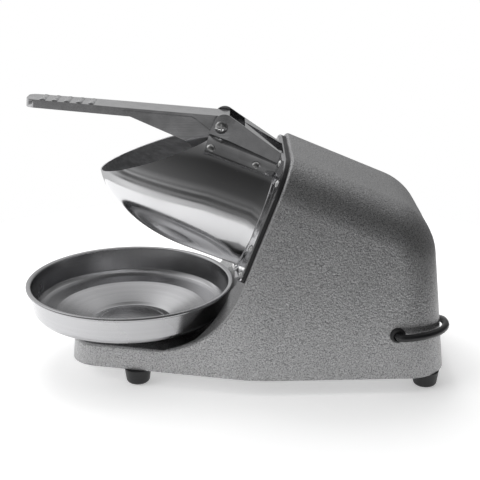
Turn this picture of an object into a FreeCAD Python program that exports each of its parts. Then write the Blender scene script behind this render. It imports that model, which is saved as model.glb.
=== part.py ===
import FreeCAD, Part
import math
import os

# Electric ice shaver with a press lever.  Millimetres, +Z up, the lever and bowl point along -X.
# The origin is on the table, under the middle of the machine's own bounding box.

# ---------------------------------------------------------------- driving sizes
# casting
FRONT_X = -156.5          # front of the tray
REAR_X = 207.5            # rear wall
FOOT_H = 15.0             # underside of the casting above the table
TRAY_TOP = 37.0
WALL = 4.0
DRAFT = 5.5               # all side walls of the casting lean in by this angle
TILT = 21.5               # the front face leans back, and the motor axis slopes, by this angle
SHAFT_X = 31.1            # where the motor axis meets the front face
SHAFT_Z = 151.9
RIDGE_B = 72.0            # height of the ridge above the motor axis
RIDGE_SLOPE = 22.5
HALF_WIDTH = 105.5        # half width at the shoulder, before it is rounded
TRAY_HALF_WIDTH = 65.5    # half width of the tray's front, before its corners are rounded
REAR_HALF_WIDTH = 97.6
SHOULDER_X = 22.5
TRAY_CORNER_R = 30.0
SHOULDER_R = 150.0
SWOOP_R = 95.0            # tray to front face
REAR_ARC_R = 62.0         # ridge to rear wall
TOP_FILLET = 40.0         # along both sides of the ridge and down the rear corners
EDGE_FILLET = 2.5

# bowl and its seat
BOWL_R = 105.0
BOWL_RIM_Z = 78.0
BOWL_WALL = 1.2
BOWL_X = -102.5
SEAT_R = 60.0             # round seat that the bowl stands in
SEAT_Z = 32.0
POCKET_GAP = 4.0          # between the bowl's rim and the pocket in the casting
POCKET_R = BOWL_R + POCKET_GAP
POCKET_HALF_WIDTH = 84.0

# hopper, front plate and gasket; a runs forwards along the motor axis, b up at right angles to it
HOPPER_R = 60.0
HOPPER_WALL = 1.5
HOPPER_STRAIGHT = 60.0    # straight part of the drum
HOPPER_NOSE = 108.0       # length of the rounded nose
HOPPER_FLANGE = 3.0
HOPPER_FLANGE_T = 1.2
MOUTH_A = 132.0           # a point on the mouth's plane
MOUTH_B = 8.0
MOUTH_SLOPE = 0.82        # how fast that plane falls towards the nose
GASKET = 4.0
PLATE = 1.5
PLATE_FACE = GASKET + PLATE
PLATE_HALF_WIDTH = 89.0   # at its lower edge
PLATE_TOP_HALF_WIDTH = 80.0
PLATE_TOP_B = 68.0
PLATE_BOTTOM_B = -49.0
PLATE_CORNER_R = 35.0
PLATE_LOBE_R = 66.0       # lower lobe round the hopper
PLATE_SCREWS = [(-44.0, 78.0), (-18.0, 75.0), (47.0, 67.0), (60.0, 44.0)]
PLATE_SCREW_R = 2.0
PLATE_SCREW_GRIP = 8.0

# bracket and pivot
PIVOT_A = 69.1
PIVOT_B = 67.8
PIVOT_R = 3.0
CHEEK = 2.0
CHEEK_GAP = 19.0          # half distance between the cheeks' inner faces at the pivot
CHEEK_GAP_REAR = 24.5     # the same at the front plate
CHEEK_BEND_A = 60.0       # where the cheeks start to spread
CHEEK_SIDE = [(46.0, PLATE_FACE), (52.0, 78.5), (83.9, 76.8), (65.9, PLATE_FACE)]
CHEEK_RADII = [0.0, 3.0, 10.0, 0.0]
FLANGE_FRONT_A = 48.4     # the inward flanges run from here back to the plate
FLANGE_GAP_FRONT = 1.0    # half gap between the two flanges at the front and at the plate
FLANGE_GAP_REAR = 21.0
TAB_LOW_B = 50.0
TAB_HIGH_B = 66.0
TAB_HALF_WIDTH = 52.0
SADDLE_ANGLE = 43.0       # each cheek's outward flange lies on the drum down to this angle from its top
SADDLE_A = 77.5
RIVETS = [(72.0, 36.5), (26.0, 36.5)]  # a, and the angle round the drum from its top
RIVET_R = 4.5
BUSH_WALL = 1.5

# lever and presser
LEVER_TIP_X = -195.5
LEVER_HALF_WIDTH = 16.5
LEVER_TIP_HALF_WIDTH = 13.5
LEVER_TIP_R = 8.0
LEVER_TAPER_X = -94.0     # from the pivot, where the lever reaches its full width
LEVER_HEEL = 7.0
LEVER_DEPTH = 8.0
LEVER_SHEET = 1.5
LEVER_SLOPE = 4.95
LEVER_ABOVE_PIVOT = 10.1  # top of the lever over the pivot's axis
RIDGES = 5
RIDGE_START = 16.0
RIDGE_PITCH = 11.6
RIDGE_R = 6.0
RIDGE_PROUD = 0.9
ARM_SHEET = 1.5
ARM_SIDE = [(166.0, 47.0), (97.3, 66.6), (74.9, 59.6), (74.9, 55.0), (70.0, 53.5), (30.0, 47.0),
            (16.5, 30.0), (16.5, -18.0), (40.0, -8.0), (70.0, 30.0), (94.0, 42.4), (153.5, 45.2)]
ARM_RADII = [1.0, 12.0, 2.0, 2.0, 6.0, 10.0, 3.0, 4.0, 20.0, 30.0, 10.0, 3.0]
PRESSER_A = 14.0          # the presser plate's face, at the bottom of its stroke
PRESSER_B = 4.0
PRESSER_R = 41.0
PRESSER_T = 2.0
PRESSER_RINGS = (12.0, 24.0, 36.0)

# cutting parts and motor
CHAMBER_R = 60.0
CHAMBER_DEPTH = 28.0
BULKHEAD = 4.0
OUTLET_HALF_WIDTH = 40.0
OUTLET_Z = 80.0           # sill of the ice outlet, just above the bowl's rim
OUTLET_RISE = 4.0
CHUTE_SHEET = 1.0
CHUTE_X = 4.0             # the chute's lip over the bowl
CHUTE_L = 30.0
CHUTE_SIDE = 14.0
DISC_R = 57.0
DISC_T = 4.0
DISC_FRONT = 2.5
HUB_R = 11.0
HUB_L = 14.0
BLADE_T = 1.5
BLADE_SCREW_R = (26.0, 44.0)
SHAFT_R = 5.0
SEAL_R = 9.0
SEAL_T = 4.0
BEARING_R = 13.0
BEARING_T = 8.0
MOTOR_R = 42.0
BELL_L = 18.0
BELL_FLOOR = 3.0
STATOR_L = 40.0
ROTOR_R = 20.0
SLOT_R = 31.0
WINDING_L = 10.0
FAN_SPACE = 18.0
FAN_R = 36.0
FAN_T = 10.0
BOLT_R = 2.0
BOLT_RING = 36.5
BOLT_GRIP = 6.5
MOTOR_FRONT_A = -CHAMBER_DEPTH - 2 * BULKHEAD
FRONT_BELL_A = MOTOR_FRONT_A - BELL_L
STATOR_A = FRONT_BELL_A - STATOR_L
MOTOR_REAR_A = STATOR_A - BELL_L

# base cover, feet and electrics
COVER = 1.5
COVER_TOP = FOOT_H + COVER
COVER_SCREWS_X = [-136.0, -20.0, 60.0, 150.0]
SCREW_R = 1.75
BOSS_WALL = 3.0
BOSS_H = 18.0
FOOT_R = 13.0
FOOT_TOE_R = 11.0
FOOT_SCREW_R = 2.5
FOOT_BOSS_WALL = 6.0
FOOT_COUNTERBORE = 7.0
FOOT_FRONT_X, FOOT_FRONT_Y = -89.8, 73.0
FOOT_REAR_X, FOOT_REAR_Y = 188.5, 79.0
VENT_X = 10.0
VENT_PITCH = 9.0
VENT_COLUMNS = 10
VENT_ROWS = 2
VENT_W = 4.0
VENT_L = 45.0
SWITCH_X, SWITCH_Z = 150.0, 95.0
SWITCH_L, SWITCH_H = 20.0, 27.0
ROCKER_L, ROCKER_H = 15.0, 21.0
ROCKER_DEPTH = 7.0
ROCKER_PIN = 2.5
ROCKER_PIN_R = 1.2
GROMMET_X, GROMMET_Z = 157.5, 58.0
GROMMET_R = 7.5
GROMMET_NECK_R = 5.5
GROMMET_PROUD = 3.0
CAPACITOR_X, CAPACITOR_Y = 120.0, 50.0
CAPACITOR_R, CAPACITOR_L = 15.0, 60.0
CAPACITOR_Z = COVER_TOP + CAPACITOR_R
CLIP_GAP = 0.1
CLIP_SHEET = 1.2
TERMINAL_X, TERMINAL_Y = 135.0, -6.0
CLAMP_X, CLAMP_Y = 157.5, -26.0

# mains lead; its route is chosen by hand, from the grommet inwards and outwards
CORD_R = 3.5
INNER_LEAD_Z = 22.5
INNER_LEAD = [(157.5, -84.0, 58.0), (157.5, -64.0, 42.0), (157.5, -44.0, INNER_LEAD_Z),
              (157.5, TERMINAL_Y, INNER_LEAD_Z)]
CORD_ROUTE = [(157.5, -100.0, 58.2), (159.9, -103.7, 58.6), (163.9, -105.2, 59.0), (172.5, -103.6, 59.2),
              (186.5, -97.2, 58.8), (199.0, -86.4, 58.0), (207.6, -71.0, 56.8), (210.0, -52.5, 54.5),
              (210.0, -31.0, 48.5), (211.6, -2.0, 36.5), (213.8, 25.0, 21.0), (214.4, 51.0, 9.0),
              (212.5, 79.0, 3.8), (206.0, 108.0, 3.6), (191.5, 138.5, 3.6), (175.0, 163.4, 3.6)]
COIL_X, COIL_Y = 122.0, 160.0
COIL_R = 39.0             # middle of the turns
COIL_ROWS = 3
COIL_LAYERS = 2
TIE_W, TIE_T = 8.0, 0.8
TIE_ANGLE = 255.0
TAIL_ROUTE = [(77.0, 188.2, 10.5), (65.1, 180.8, 10.4), (54.1, 172.2, 11.0)]
PLUG_L, PLUG_W, PLUG_H = 26.0, 27.0, 22.0
PLUG_BOOT = 22.0
PLUG_TURN = 218.0         # direction of its pins, about Z

RUN = 0.05                # running clearance of a shaft in its bore
SEAT_GAP = 0.3            # clearance of a piece that drops into its place

PARTS = "parts"


# ---------------------------------------------------------------- helpers
def vec(x, y, z):
    return FreeCAD.Vector(x, y, z)


def turned(shape, angle, centre=(0, 0, 0), axis=(0, 0, 1)):
    result = shape.copy()
    result.rotate(vec(*centre), vec(*axis), angle)
    return result


def moved(shape, x, y, z):
    result = shape.copy()
    result.translate(vec(x, y, z))
    return result


def tilted(shape):
    """From the motor's own frame (X above the axis, Y across, Z forwards) to the part's frame."""
    result = turned(shape, TILT - 90.0, axis=(0, 1, 0))
    result.translate(vec(SHAFT_X, 0, SHAFT_Z))
    return result


def on_axis(a, b):
    """x and z of a point a in front of the front face and b above the motor axis."""
    t = math.radians(TILT)
    return (SHAFT_X - a * math.cos(t) + b * math.sin(t), SHAFT_Z + a * math.sin(t) + b * math.cos(t))


def cylinder(radius, length, base=(0, 0, 0), axis=(0, 0, 1)):
    return Part.makeCylinder(radius, length, vec(*base), vec(*axis))


def box(low, high):
    size = [h - l for l, h in zip(low, high)]
    return Part.makeBox(size[0], size[1], size[2], vec(*low))


def tube(outer, inner, length, base=(0, 0, 0), axis=(0, 0, 1)):
    return cylinder(outer, length, base, axis).cut(cylinder(inner, length, base, axis))


def rounded_wire(points, radii):
    """Closed wire through 3-D corner points, with a tangent arc of the given radius at each."""
    corners = [vec(*p) for p in points]
    count = len(corners)
    starts, ends, mids = [], [], []
    for i in range(count):
        here = corners[i]
        back = (corners[i - 1] - here).normalize()
        ahead = (corners[(i + 1) % count] - here).normalize()
        if radii[i] <= 0:
            starts.append(here)
            ends.append(here)
            mids.append(None)
            continue
        half = back.getAngle(ahead) / 2.0
        reach = radii[i] / math.tan(half)
        centre = here + (back + ahead).normalize() * (radii[i] / math.sin(half))
        starts.append(here + back * reach)
        ends.append(here + ahead * reach)
        mids.append(centre + (here - centre).normalize() * radii[i])
    edges = []
    for i in range(count):
        if mids[i] is not None:
            edges.append(Part.Arc(starts[i], mids[i], ends[i]).toShape())
        after = starts[(i + 1) % count]
        if ends[i].distanceToPoint(after) > 1e-6:
            edges.append(Part.LineSegment(ends[i], after).toShape())
    return Part.Wire(edges)


def side_prism(points, radii, y_low, y_high):
    """Prism across Y of a side outline given as (x, z) corners."""
    wire = rounded_wire([(x, y_low, z) for x, z in points], radii)
    return Part.Face(wire).extrude(vec(0, y_high - y_low, 0))


def plan_prism(points, radii, z_low, z_high):
    """Prism along Z of a plan outline given as (x, y) corners."""
    wire = rounded_wire([(x, y, z_low) for x, y in points], radii)
    return Part.Face(wire).extrude(vec(0, 0, z_high - z_low))


def revolved(profile):
    """Solid of revolution about Z of a closed (radius, z) outline of straight runs."""
    corners = [vec(r, 0, z) for r, z in profile]
    wire = Part.makePolygon(corners + corners[:1])
    return Part.Face(wire).revolve(vec(0, 0, 0), vec(0, 0, 1), 360)


def mirrored(shape):
    return shape.mirror(vec(0, 0, 0), vec(0, 1, 0))


def join(first, *others):
    return first.fuse(list(others)).removeSplitter()


def pan_head(radius, height):
    """Low domed screw head with a cross recess, flat side on Z = 0."""
    dome_r = (radius ** 2 + height ** 2) / (2 * height)
    head = Part.makeSphere(dome_r, vec(0, 0, height - dome_r))
    head = head.common(cylinder(radius, height))
    slot = box((-radius * 0.6, -radius * 0.12, height * 0.45), (radius * 0.6, radius * 0.12, height * 2))
    return head.cut(slot).cut(turned(slot, 90))


def screw(head_r, head_h, shank_r, length):
    """Screw with its head on top of Z = 0 and its shank down to -length."""
    return join(pan_head(head_r, head_h), cylinder(shank_r, length, (0, 0, -length)))


# ---------------------------------------------------------------- casting
def front_face_x(z):
    return SHAFT_X + (z - SHAFT_Z) * math.tan(math.radians(TILT))


def lean(z):
    """How far the drafted walls have come in at height z."""
    return (z - FOOT_H) * math.tan(math.radians(DRAFT))


def inset_corners(points, depth):
    """Corners of a convex outline about the X axis with every side moved in by depth."""
    lines = []
    middle = sum(x for x, y in points) / len(points)
    for (x0, y0), (x1, y1) in zip(points, points[1:] + points[:1]):
        length = math.hypot(x1 - x0, y1 - y0)
        nx, ny = (y1 - y0) / length, (x0 - x1) / length
        if (middle - x0) * nx - y0 * ny < 0:
            nx, ny = -nx, -ny
        lines.append((nx, ny, nx * x0 + ny * y0 + depth))
    corners = []
    for (a, b, c), (d, e, f) in zip(lines[-1:] + lines[:-1], lines):
        det = a * e - d * b
        corners.append(((c * e - f * b) / det, (a * f - d * c) / det))
    return corners


def casting_outline(inset):
    """Plan of the casting, from its front round to the rear, set in by the wall."""
    half = [(FRONT_X, TRAY_HALF_WIDTH), (SHOULDER_X, HALF_WIDTH), (REAR_X, REAR_HALF_WIDTH)]
    radii = [TRAY_CORNER_R - inset, SHOULDER_R - inset, 0.0]
    points = half + [(x, -y) for x, y in reversed(half)]
    return inset_corners(points, inset), radii + radii[::-1]


def casting_walls(inset, low, high):
    """Solid inside the drafted walls, with its front corners and shoulders rounded."""
    radii = casting_outline(inset)[1]
    rings = [[vec(x, y, z) for x, y in casting_outline(inset + lean(z))[0]] for z in (low, high)]
    faces = [Part.Face(Part.makePolygon(ring + ring[:1])) for ring in rings]
    for i in range(len(radii)):
        corners = [rings[0][i - 1], rings[0][i], rings[1][i], rings[1][i - 1]]
        faces.append(Part.Face(Part.makePolygon(corners + corners[:1])))
    walls = Part.Solid(Part.Shell(faces))
    if walls.Volume < 0:
        walls.reverse()
    for radius in sorted(set(radii) - {0.0}):
        feet = [corner for corner, r in zip(rings[0], radii) if r == radius]
        edges = [e for e in walls.Edges if e.BoundBox.ZLength > 1.0
                 and any(v.Point.distanceToPoint(foot) < 0.01 for v in e.Vertexes for foot in feet)]
        walls = walls.makeFillet(radius, edges)
    return walls


def casting_side(inset, low):
    """Side outline of the casting: tray, swoop, front face, ridge and rear wall."""
    t = math.radians(TILT)
    s = math.radians(RIDGE_SLOPE)
    tray = TRAY_TOP - inset
    foot_x = front_face_x(tray) + inset / math.cos(t)
    ridge_x, ridge_z = on_axis(0, RIDGE_B)
    drop = inset / math.cos(s)
    # the front face and the ridge meet at the top
    k = math.tan(t)
    top_z = (ridge_z - drop - (foot_x - k * tray - ridge_x) * math.tan(s)) / (1 + k * math.tan(s))
    top_x = foot_x + (top_z - tray) * k
    # so do the ridge and the leaning rear wall
    d = math.tan(math.radians(DRAFT))
    rear_z = (ridge_z - drop - (REAR_X - inset + FOOT_H * d - ridge_x) * math.tan(s)) / (1 - d * math.tan(s))
    points = [(FRONT_X + inset - 10.0, low), (FRONT_X + inset - 10.0, tray), (foot_x, tray), (top_x, top_z),
              (REAR_X - inset - lean(rear_z), rear_z), (REAR_X - inset - lean(low), low)]
    return points, [0.0, 0.0, SWOOP_R + inset, 0.0, REAR_ARC_R - inset, 0.0]


def casting_block(inset, low, high=260.0):
    plan = casting_walls(inset, low, high)
    side = side_prism(*casting_side(inset, low), -200.0, 200.0)
    block = plan.common(side).Solids[0]
    chain = [e for e in block.Edges if on_top_chain(e, inset, low)]
    return block.makeFillet(TOP_FILLET - inset, chain)


def on_top_chain(edge, inset, low):
    """True for the edges along the ridge's two sides, over its rear arc and down the rear corners."""
    mid = edge.valueAt((edge.FirstParameter + edge.LastParameter) / 2)
    start = edge.valueAt(edge.FirstParameter)
    end = edge.valueAt(edge.LastParameter)
    points, radii = casting_side(inset, low)
    top_x, top_z = points[3]
    depth = inset + lean(mid.z)
    on_side = min(abs(start.y), abs(end.y), abs(mid.y)) > REAR_HALF_WIDTH - depth - 12.0
    behind = mid.x > top_x + 0.5
    ridge_z = top_z - (mid.x - top_x) * math.tan(math.radians(RIDGE_SLOPE))
    on_edge = mid.z > ridge_z - 30.0 or mid.x > REAR_X - depth - 1.5
    return on_side and behind and on_edge and mid.z > low + 0.5


def soften_front(block):
    """Rounds the closed edge round the tray, the swoop and the front face."""
    chain = []
    for edge in block.Edges:
        mid = edge.valueAt((edge.FirstParameter + edge.LastParameter) / 2)
        faces = [f for f in block.Faces if any(edge.isSame(e) for e in f.Edges)]
        fronts = [f for f in faces if faces_front(f)]
        if len(fronts) == 1 and mid.z > FOOT_H + 1.0:
            chain.append(edge)
    return block.makeFillet(EDGE_FILLET, chain)


def faces_front(face):
    """True for the tray's top, the swoop and the front face: upright across Y, and looking up or forwards."""
    u0, u1, v0, v1 = face.ParameterRange
    normal = face.normalAt((u0 + u1) / 2, (v0 + v1) / 2)
    middle = face.CenterOfMass
    low_enough = middle.x < front_face_x(middle.z) + 12.0
    return abs(normal.y) < 1e-3 and low_enough and (normal.z > 0.2)


def bowl_pocket(radius, base):
    """Space of the bowl above the tray, kept inside the casting's side walls."""
    pocket = cylinder(radius, 200.0, (BOWL_X, 0, base))
    half = POCKET_HALF_WIDTH + radius - POCKET_R
    return pocket.common(box((-400, -half, 0), (400, half, 300)))


def wall_y(x, z=FOOT_H):
    """Half width of the casting at x and height z, outside its rounded corners."""
    if x < SHOULDER_X:
        slope = (HALF_WIDTH - TRAY_HALF_WIDTH) / (SHOULDER_X - FRONT_X)
        return HALF_WIDTH - (SHOULDER_X - x) * slope - lean(z) / math.cos(math.atan(slope))
    turn = math.radians(wall_turn())
    return HALF_WIDTH - (x - SHOULDER_X) * math.tan(turn) - lean(z) / math.cos(turn)


def wall_turn():
    """How far the side walls turn inwards behind the shoulder, in degrees."""
    return math.degrees(math.atan2(HALF_WIDTH - REAR_HALF_WIDTH, REAR_X - SHOULDER_X))


def on_wall(shape, x, z, side):
    """Turns and leans a piece that was drawn upright along X so that it sits on the side wall at x and z."""
    foot = (x, side * wall_y(x, z), z)
    along = math.radians(side * wall_turn())
    flat = turned(shape, -side * wall_turn(), foot)
    return turned(flat, side * DRAFT, foot, (math.cos(along), -math.sin(along), 0))


def boss_places():
    """Cover screws along both side walls, close enough for their bosses to grow out of the wall."""
    places = []
    for x in COVER_SCREWS_X:
        corner = max(0.0, FRONT_X + TRAY_CORNER_R - x)
        rounding = TRAY_CORNER_R - math.sqrt(TRAY_CORNER_R ** 2 - corner ** 2)
        y = wall_y(x) - rounding - WALL - SCREW_R - BOSS_WALL * 0.6
        places += [(x, -y), (x, y)]
    return places


def foot_places():
    return [(x, side * y) for x, y in ((FOOT_FRONT_X, FOOT_FRONT_Y), (FOOT_REAR_X, FOOT_REAR_Y)) for side in (-1, 1)]


def housing_shell():
    outer = soften_front(casting_block(0.0, FOOT_H))
    hollow = casting_block(WALL, FOOT_H)
    hollow = hollow.cut(bowl_pocket(POCKET_R + WALL, TRAY_TOP - WALL))
    hollow = hollow.cut(cylinder(SEAT_R + WALL, 20.0, (BOWL_X, 0, SEAT_Z - WALL)))
    shell = outer.cut(hollow).cut(bowl_pocket(POCKET_R, TRAY_TOP))
    shell = shell.cut(cylinder(SEAT_R, 20.0, (BOWL_X, 0, SEAT_Z)))
    # the blade chamber, its bulkhead with the motor bosses, and the way out for the ice
    cup = cylinder(CHAMBER_R + WALL, CHAMBER_DEPTH + BULKHEAD, (0, 0, -CHAMBER_DEPTH - BULKHEAD))
    shell = shell.fuse(tilted(cup).common(outer))
    outlet_wall = side_prism(*outlet_side(WALL), -OUTLET_HALF_WIDTH - WALL, OUTLET_HALF_WIDTH + WALL)
    shell = shell.fuse(outlet_wall.common(outer).cut(bowl_pocket(POCKET_R, TRAY_TOP)))
    motor_bosses = [cylinder(BOLT_R + 3.0, BULKHEAD, (*p, MOTOR_FRONT_A)) for p in bolt_places()]
    spigot = tube(SEAL_R + WALL, SEAL_R, SEAL_T, (0, 0, -CHAMBER_DEPTH - BULKHEAD - SEAL_T))
    shell = shell.fuse([tilted(b) for b in motor_bosses] + [tilted(spigot)])
    shell = shell.cut(tilted(cylinder(CHAMBER_R, CHAMBER_DEPTH + 5.0, (0, 0, -CHAMBER_DEPTH))))
    shell = shell.cut(tilted(cylinder(SHAFT_R + 1.0, 20.0, (0, 0, -CHAMBER_DEPTH - 10.0))))
    shell = shell.cut(side_prism(*outlet_side(0.0), -OUTLET_HALF_WIDTH, OUTLET_HALF_WIDTH))
    bolt_hole = [cylinder(BOLT_R, BOLT_GRIP, (*p, MOTOR_FRONT_A)) for p in bolt_places()]
    shell = shell.cut([tilted(h) for h in bolt_hole])
    plate_holes = [cylinder(PLATE_SCREW_R, PLATE_SCREW_GRIP, (b, y, -PLATE_SCREW_GRIP))
                   for b, y in plate_screw_places()]
    plate_bosses = [cylinder(PLATE_SCREW_R + 2.5, PLATE_SCREW_GRIP + 2.0, (b, y, -PLATE_SCREW_GRIP - 2.0))
                    for b, y in plate_screw_places()]
    shell = shell.fuse([tilted(b).common(outer) for b in plate_bosses]).cut([tilted(h) for h in plate_holes])
    # bosses for the base cover's screws and the feet
    for x, y in boss_places():
        shell = shell.fuse(cylinder(SCREW_R + BOSS_WALL, BOSS_H, (x, y, COVER_TOP)).common(outer))
        shell = shell.cut(cylinder(SCREW_R, 10.0, (x, y, COVER_TOP)))
    for x, y in foot_places():
        shell = shell.fuse(cylinder(FOOT_SCREW_R + FOOT_BOSS_WALL, BOSS_H, (x, y, COVER_TOP)).common(outer))
        shell = shell.cut(cylinder(FOOT_SCREW_R, 8.0, (x, y, COVER_TOP)))
    # holes for the cord's grommet and the switch
    neck = cylinder(GROMMET_NECK_R, 20.0, (GROMMET_X, -wall_y(GROMMET_X, GROMMET_Z) - 10.0, GROMMET_Z), (0, 1, 0))
    wall = wall_y(SWITCH_X, SWITCH_Z)
    window = box((SWITCH_X - SWITCH_L / 2, wall - 12.0, SWITCH_Z - SWITCH_H / 2),
                 (SWITCH_X + SWITCH_L / 2, wall + 5.0, SWITCH_Z + SWITCH_H / 2))
    shell = shell.cut([on_wall(neck, GROMMET_X, GROMMET_Z, -1), on_wall(window, SWITCH_X, SWITCH_Z, 1)])
    return shell.removeSplitter()


def outlet_side(grow):
    """Side outline of the ice outlet, from the blade chamber's floor down to the bowl's rim."""
    bulkhead = -CHAMBER_DEPTH - grow
    low = OUTLET_Z - grow
    front = BOWL_X + POCKET_R - 8.0
    rear_x = on_axis(bulkhead, -CHAMBER_R)[0]
    high_x, high_z = on_axis(bulkhead, -math.sqrt(CHAMBER_R ** 2 - OUTLET_HALF_WIDTH ** 2))
    return [(front, low), (rear_x, low + OUTLET_RISE), (high_x, high_z), (front, OUTLET_Z + 14.0)], [0.0] * 4


def plate_screw_places():
    """(b, y) of the front plate's screws, above and across the motor axis."""
    return [(b, side * y) for b, y in PLATE_SCREWS for side in (-1, 1)]


def bolt_places():
    return [(BOLT_RING * math.cos(math.radians(w)), BOLT_RING * math.sin(math.radians(w)))
            for w in (45, 135, 225, 315)]


# ---------------------------------------------------------------- base cover and feet
def base_cover():
    plan = plan_prism(*casting_outline(WALL + SEAT_GAP + lean(COVER_TOP)), COVER_TOP - COVER, COVER_TOP)
    rear = REAR_X - WALL - SEAT_GAP
    corners = [e for e in plan.Edges if min(v.X for v in e.Vertexes) > rear - 0.5
               and abs(e.Vertexes[0].Z - e.Vertexes[-1].Z) > COVER / 2]
    plan = plan.makeFillet(TOP_FILLET - WALL - SEAT_GAP, corners)
    for px, py in boss_places():
        plan = plan.cut(cylinder(SCREW_R + 0.2, 10.0, (px, py, COVER_TOP - 5.0)))
    for px, py in foot_places():
        plan = plan.cut(cylinder(FOOT_SCREW_R + 0.2, 10.0, (px, py, COVER_TOP - 5.0)))
    for row in range(VENT_ROWS):
        for column in range(VENT_COLUMNS):
            cx = VENT_X + column * VENT_PITCH
            cy = (row - (VENT_ROWS - 1) / 2) * (VENT_L + 8.0)
            slot = box((cx - VENT_W / 2, cy - VENT_L / 2, 0), (cx + VENT_W / 2, cy + VENT_L / 2, 30))
            plan = plan.cut(slot)
    return plan


def cover_screws():
    one = turned(screw(4.0, 2.0, SCREW_R - RUN, 10.0), 180, axis=(1, 0, 0))
    return Part.makeCompound([moved(one, x, y, FOOT_H) for x, y in boss_places()])


def foot(place):
    """Tapered rubber foot with a rounded toe and a counterbore for its screw."""
    body = Part.makeCone(FOOT_TOE_R, FOOT_R, FOOT_H)
    toe = [e for e in body.Edges if e.isClosed() and e.BoundBox.ZMax < 0.01]
    body = body.makeFillet(4.0, toe)
    body = body.cut(cylinder(FOOT_SCREW_R + 0.2, FOOT_H + 2.0, (0, 0, -1.0)))
    body = body.cut(cylinder(FOOT_SCREW_R + 2.5, FOOT_COUNTERBORE + 1.0, (0, 0, -1.0)))
    return moved(body, place[0], place[1], 0)


def foot_screws():
    shank = FOOT_H - FOOT_COUNTERBORE + COVER + 7.0
    one = turned(screw(FOOT_SCREW_R + 2.0, 2.5, FOOT_SCREW_R - RUN, shank), 180, axis=(1, 0, 0))
    return Part.makeCompound([moved(one, x, y, FOOT_COUNTERBORE) for x, y in foot_places()])


# ---------------------------------------------------------------- front plate, gasket, hopper
def plate_prism(thickness, base, hole):
    """D-shaped plate on the casting's front face with a lobe under the hopper."""
    points = [(PLATE_BOTTOM_B, -PLATE_HALF_WIDTH), (PLATE_TOP_B, -PLATE_TOP_HALF_WIDTH),
              (PLATE_TOP_B, PLATE_TOP_HALF_WIDTH), (PLATE_BOTTOM_B, PLATE_HALF_WIDTH)]
    radii = [4.0, PLATE_CORNER_R, PLATE_CORNER_R, 4.0]
    plate = plan_prism(points, radii, base, base + thickness)
    plate = plate.fuse(cylinder(PLATE_LOBE_R, thickness, (0, 0, base))).removeSplitter()
    plate = plate.cut(cylinder(hole, thickness + 10.0, (0, 0, base - 5.0)))
    for b, y in plate_screw_places():
        plate = plate.cut(cylinder(PLATE_SCREW_R + 0.1, 20.0, (b, y, base - 5.0)))
    return tilted(plate)


def plate_screws():
    one = screw(4.0, 2.2, PLATE_SCREW_R - RUN, PLATE_FACE + PLATE_SCREW_GRIP - 1.0)
    screws = []
    for b, y in plate_screw_places():
        through_tab = TAB_LOW_B < b < TAB_HIGH_B and abs(y) < TAB_HALF_WIDTH
        screws.append(moved(one, b, y, PLATE_FACE + (CHEEK if through_tab else 0.0)))
    return tilted(Part.makeCompound(screws))


def nose_solid(radius, length, start):
    """Drum with a rounded nose, solid, along Z from start."""
    tip = vec(0, 0, HOPPER_STRAIGHT + length)
    shoulder = vec(radius, 0, HOPPER_STRAIGHT)
    ellipse = Part.Ellipse(tip, shoulder, vec(0, 0, HOPPER_STRAIGHT))
    arc = Part.Arc(ellipse, 0, math.pi / 2).toShape()
    runs = [(shoulder, vec(radius, 0, start)), (vec(radius, 0, start), vec(0, 0, start)), (vec(0, 0, start), tip)]
    wire = Part.Wire([arc] + [Part.LineSegment(p, q).toShape() for p, q in runs])
    return Part.Face(wire).revolve(vec(0, 0, 0), vec(0, 0, 1), 360)


def mouth_cut():
    """Everything above the mouth's plane, in the motor's frame."""
    high = 200.0
    rise = (HOPPER_STRAIGHT + HOPPER_NOSE + 40.0 - MOUTH_A) * MOUTH_SLOPE
    a_far, b_far = MOUTH_A + rise / MOUTH_SLOPE, MOUTH_B - rise
    a_near = MOUTH_A - (high - MOUTH_B) / MOUTH_SLOPE
    wire = Part.makePolygon([vec(b_far, -150, a_far), vec(high, -150, a_near), vec(high, -150, a_far),
                             vec(b_far, -150, a_far)])
    return Part.Face(wire).extrude(vec(0, 300, 0))


def hopper():
    start = PLATE_FACE
    outer = nose_solid(HOPPER_R, HOPPER_NOSE, start)
    inner = nose_solid(HOPPER_R - HOPPER_WALL, HOPPER_NOSE - HOPPER_WALL, start - 5.0)
    drum = outer.cut(inner).cut(mouth_cut())
    flange = tube(HOPPER_R + HOPPER_FLANGE, HOPPER_R - HOPPER_WALL, HOPPER_FLANGE_T, (0, 0, start))
    return tilted(drum.fuse(flange).removeSplitter())


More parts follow.
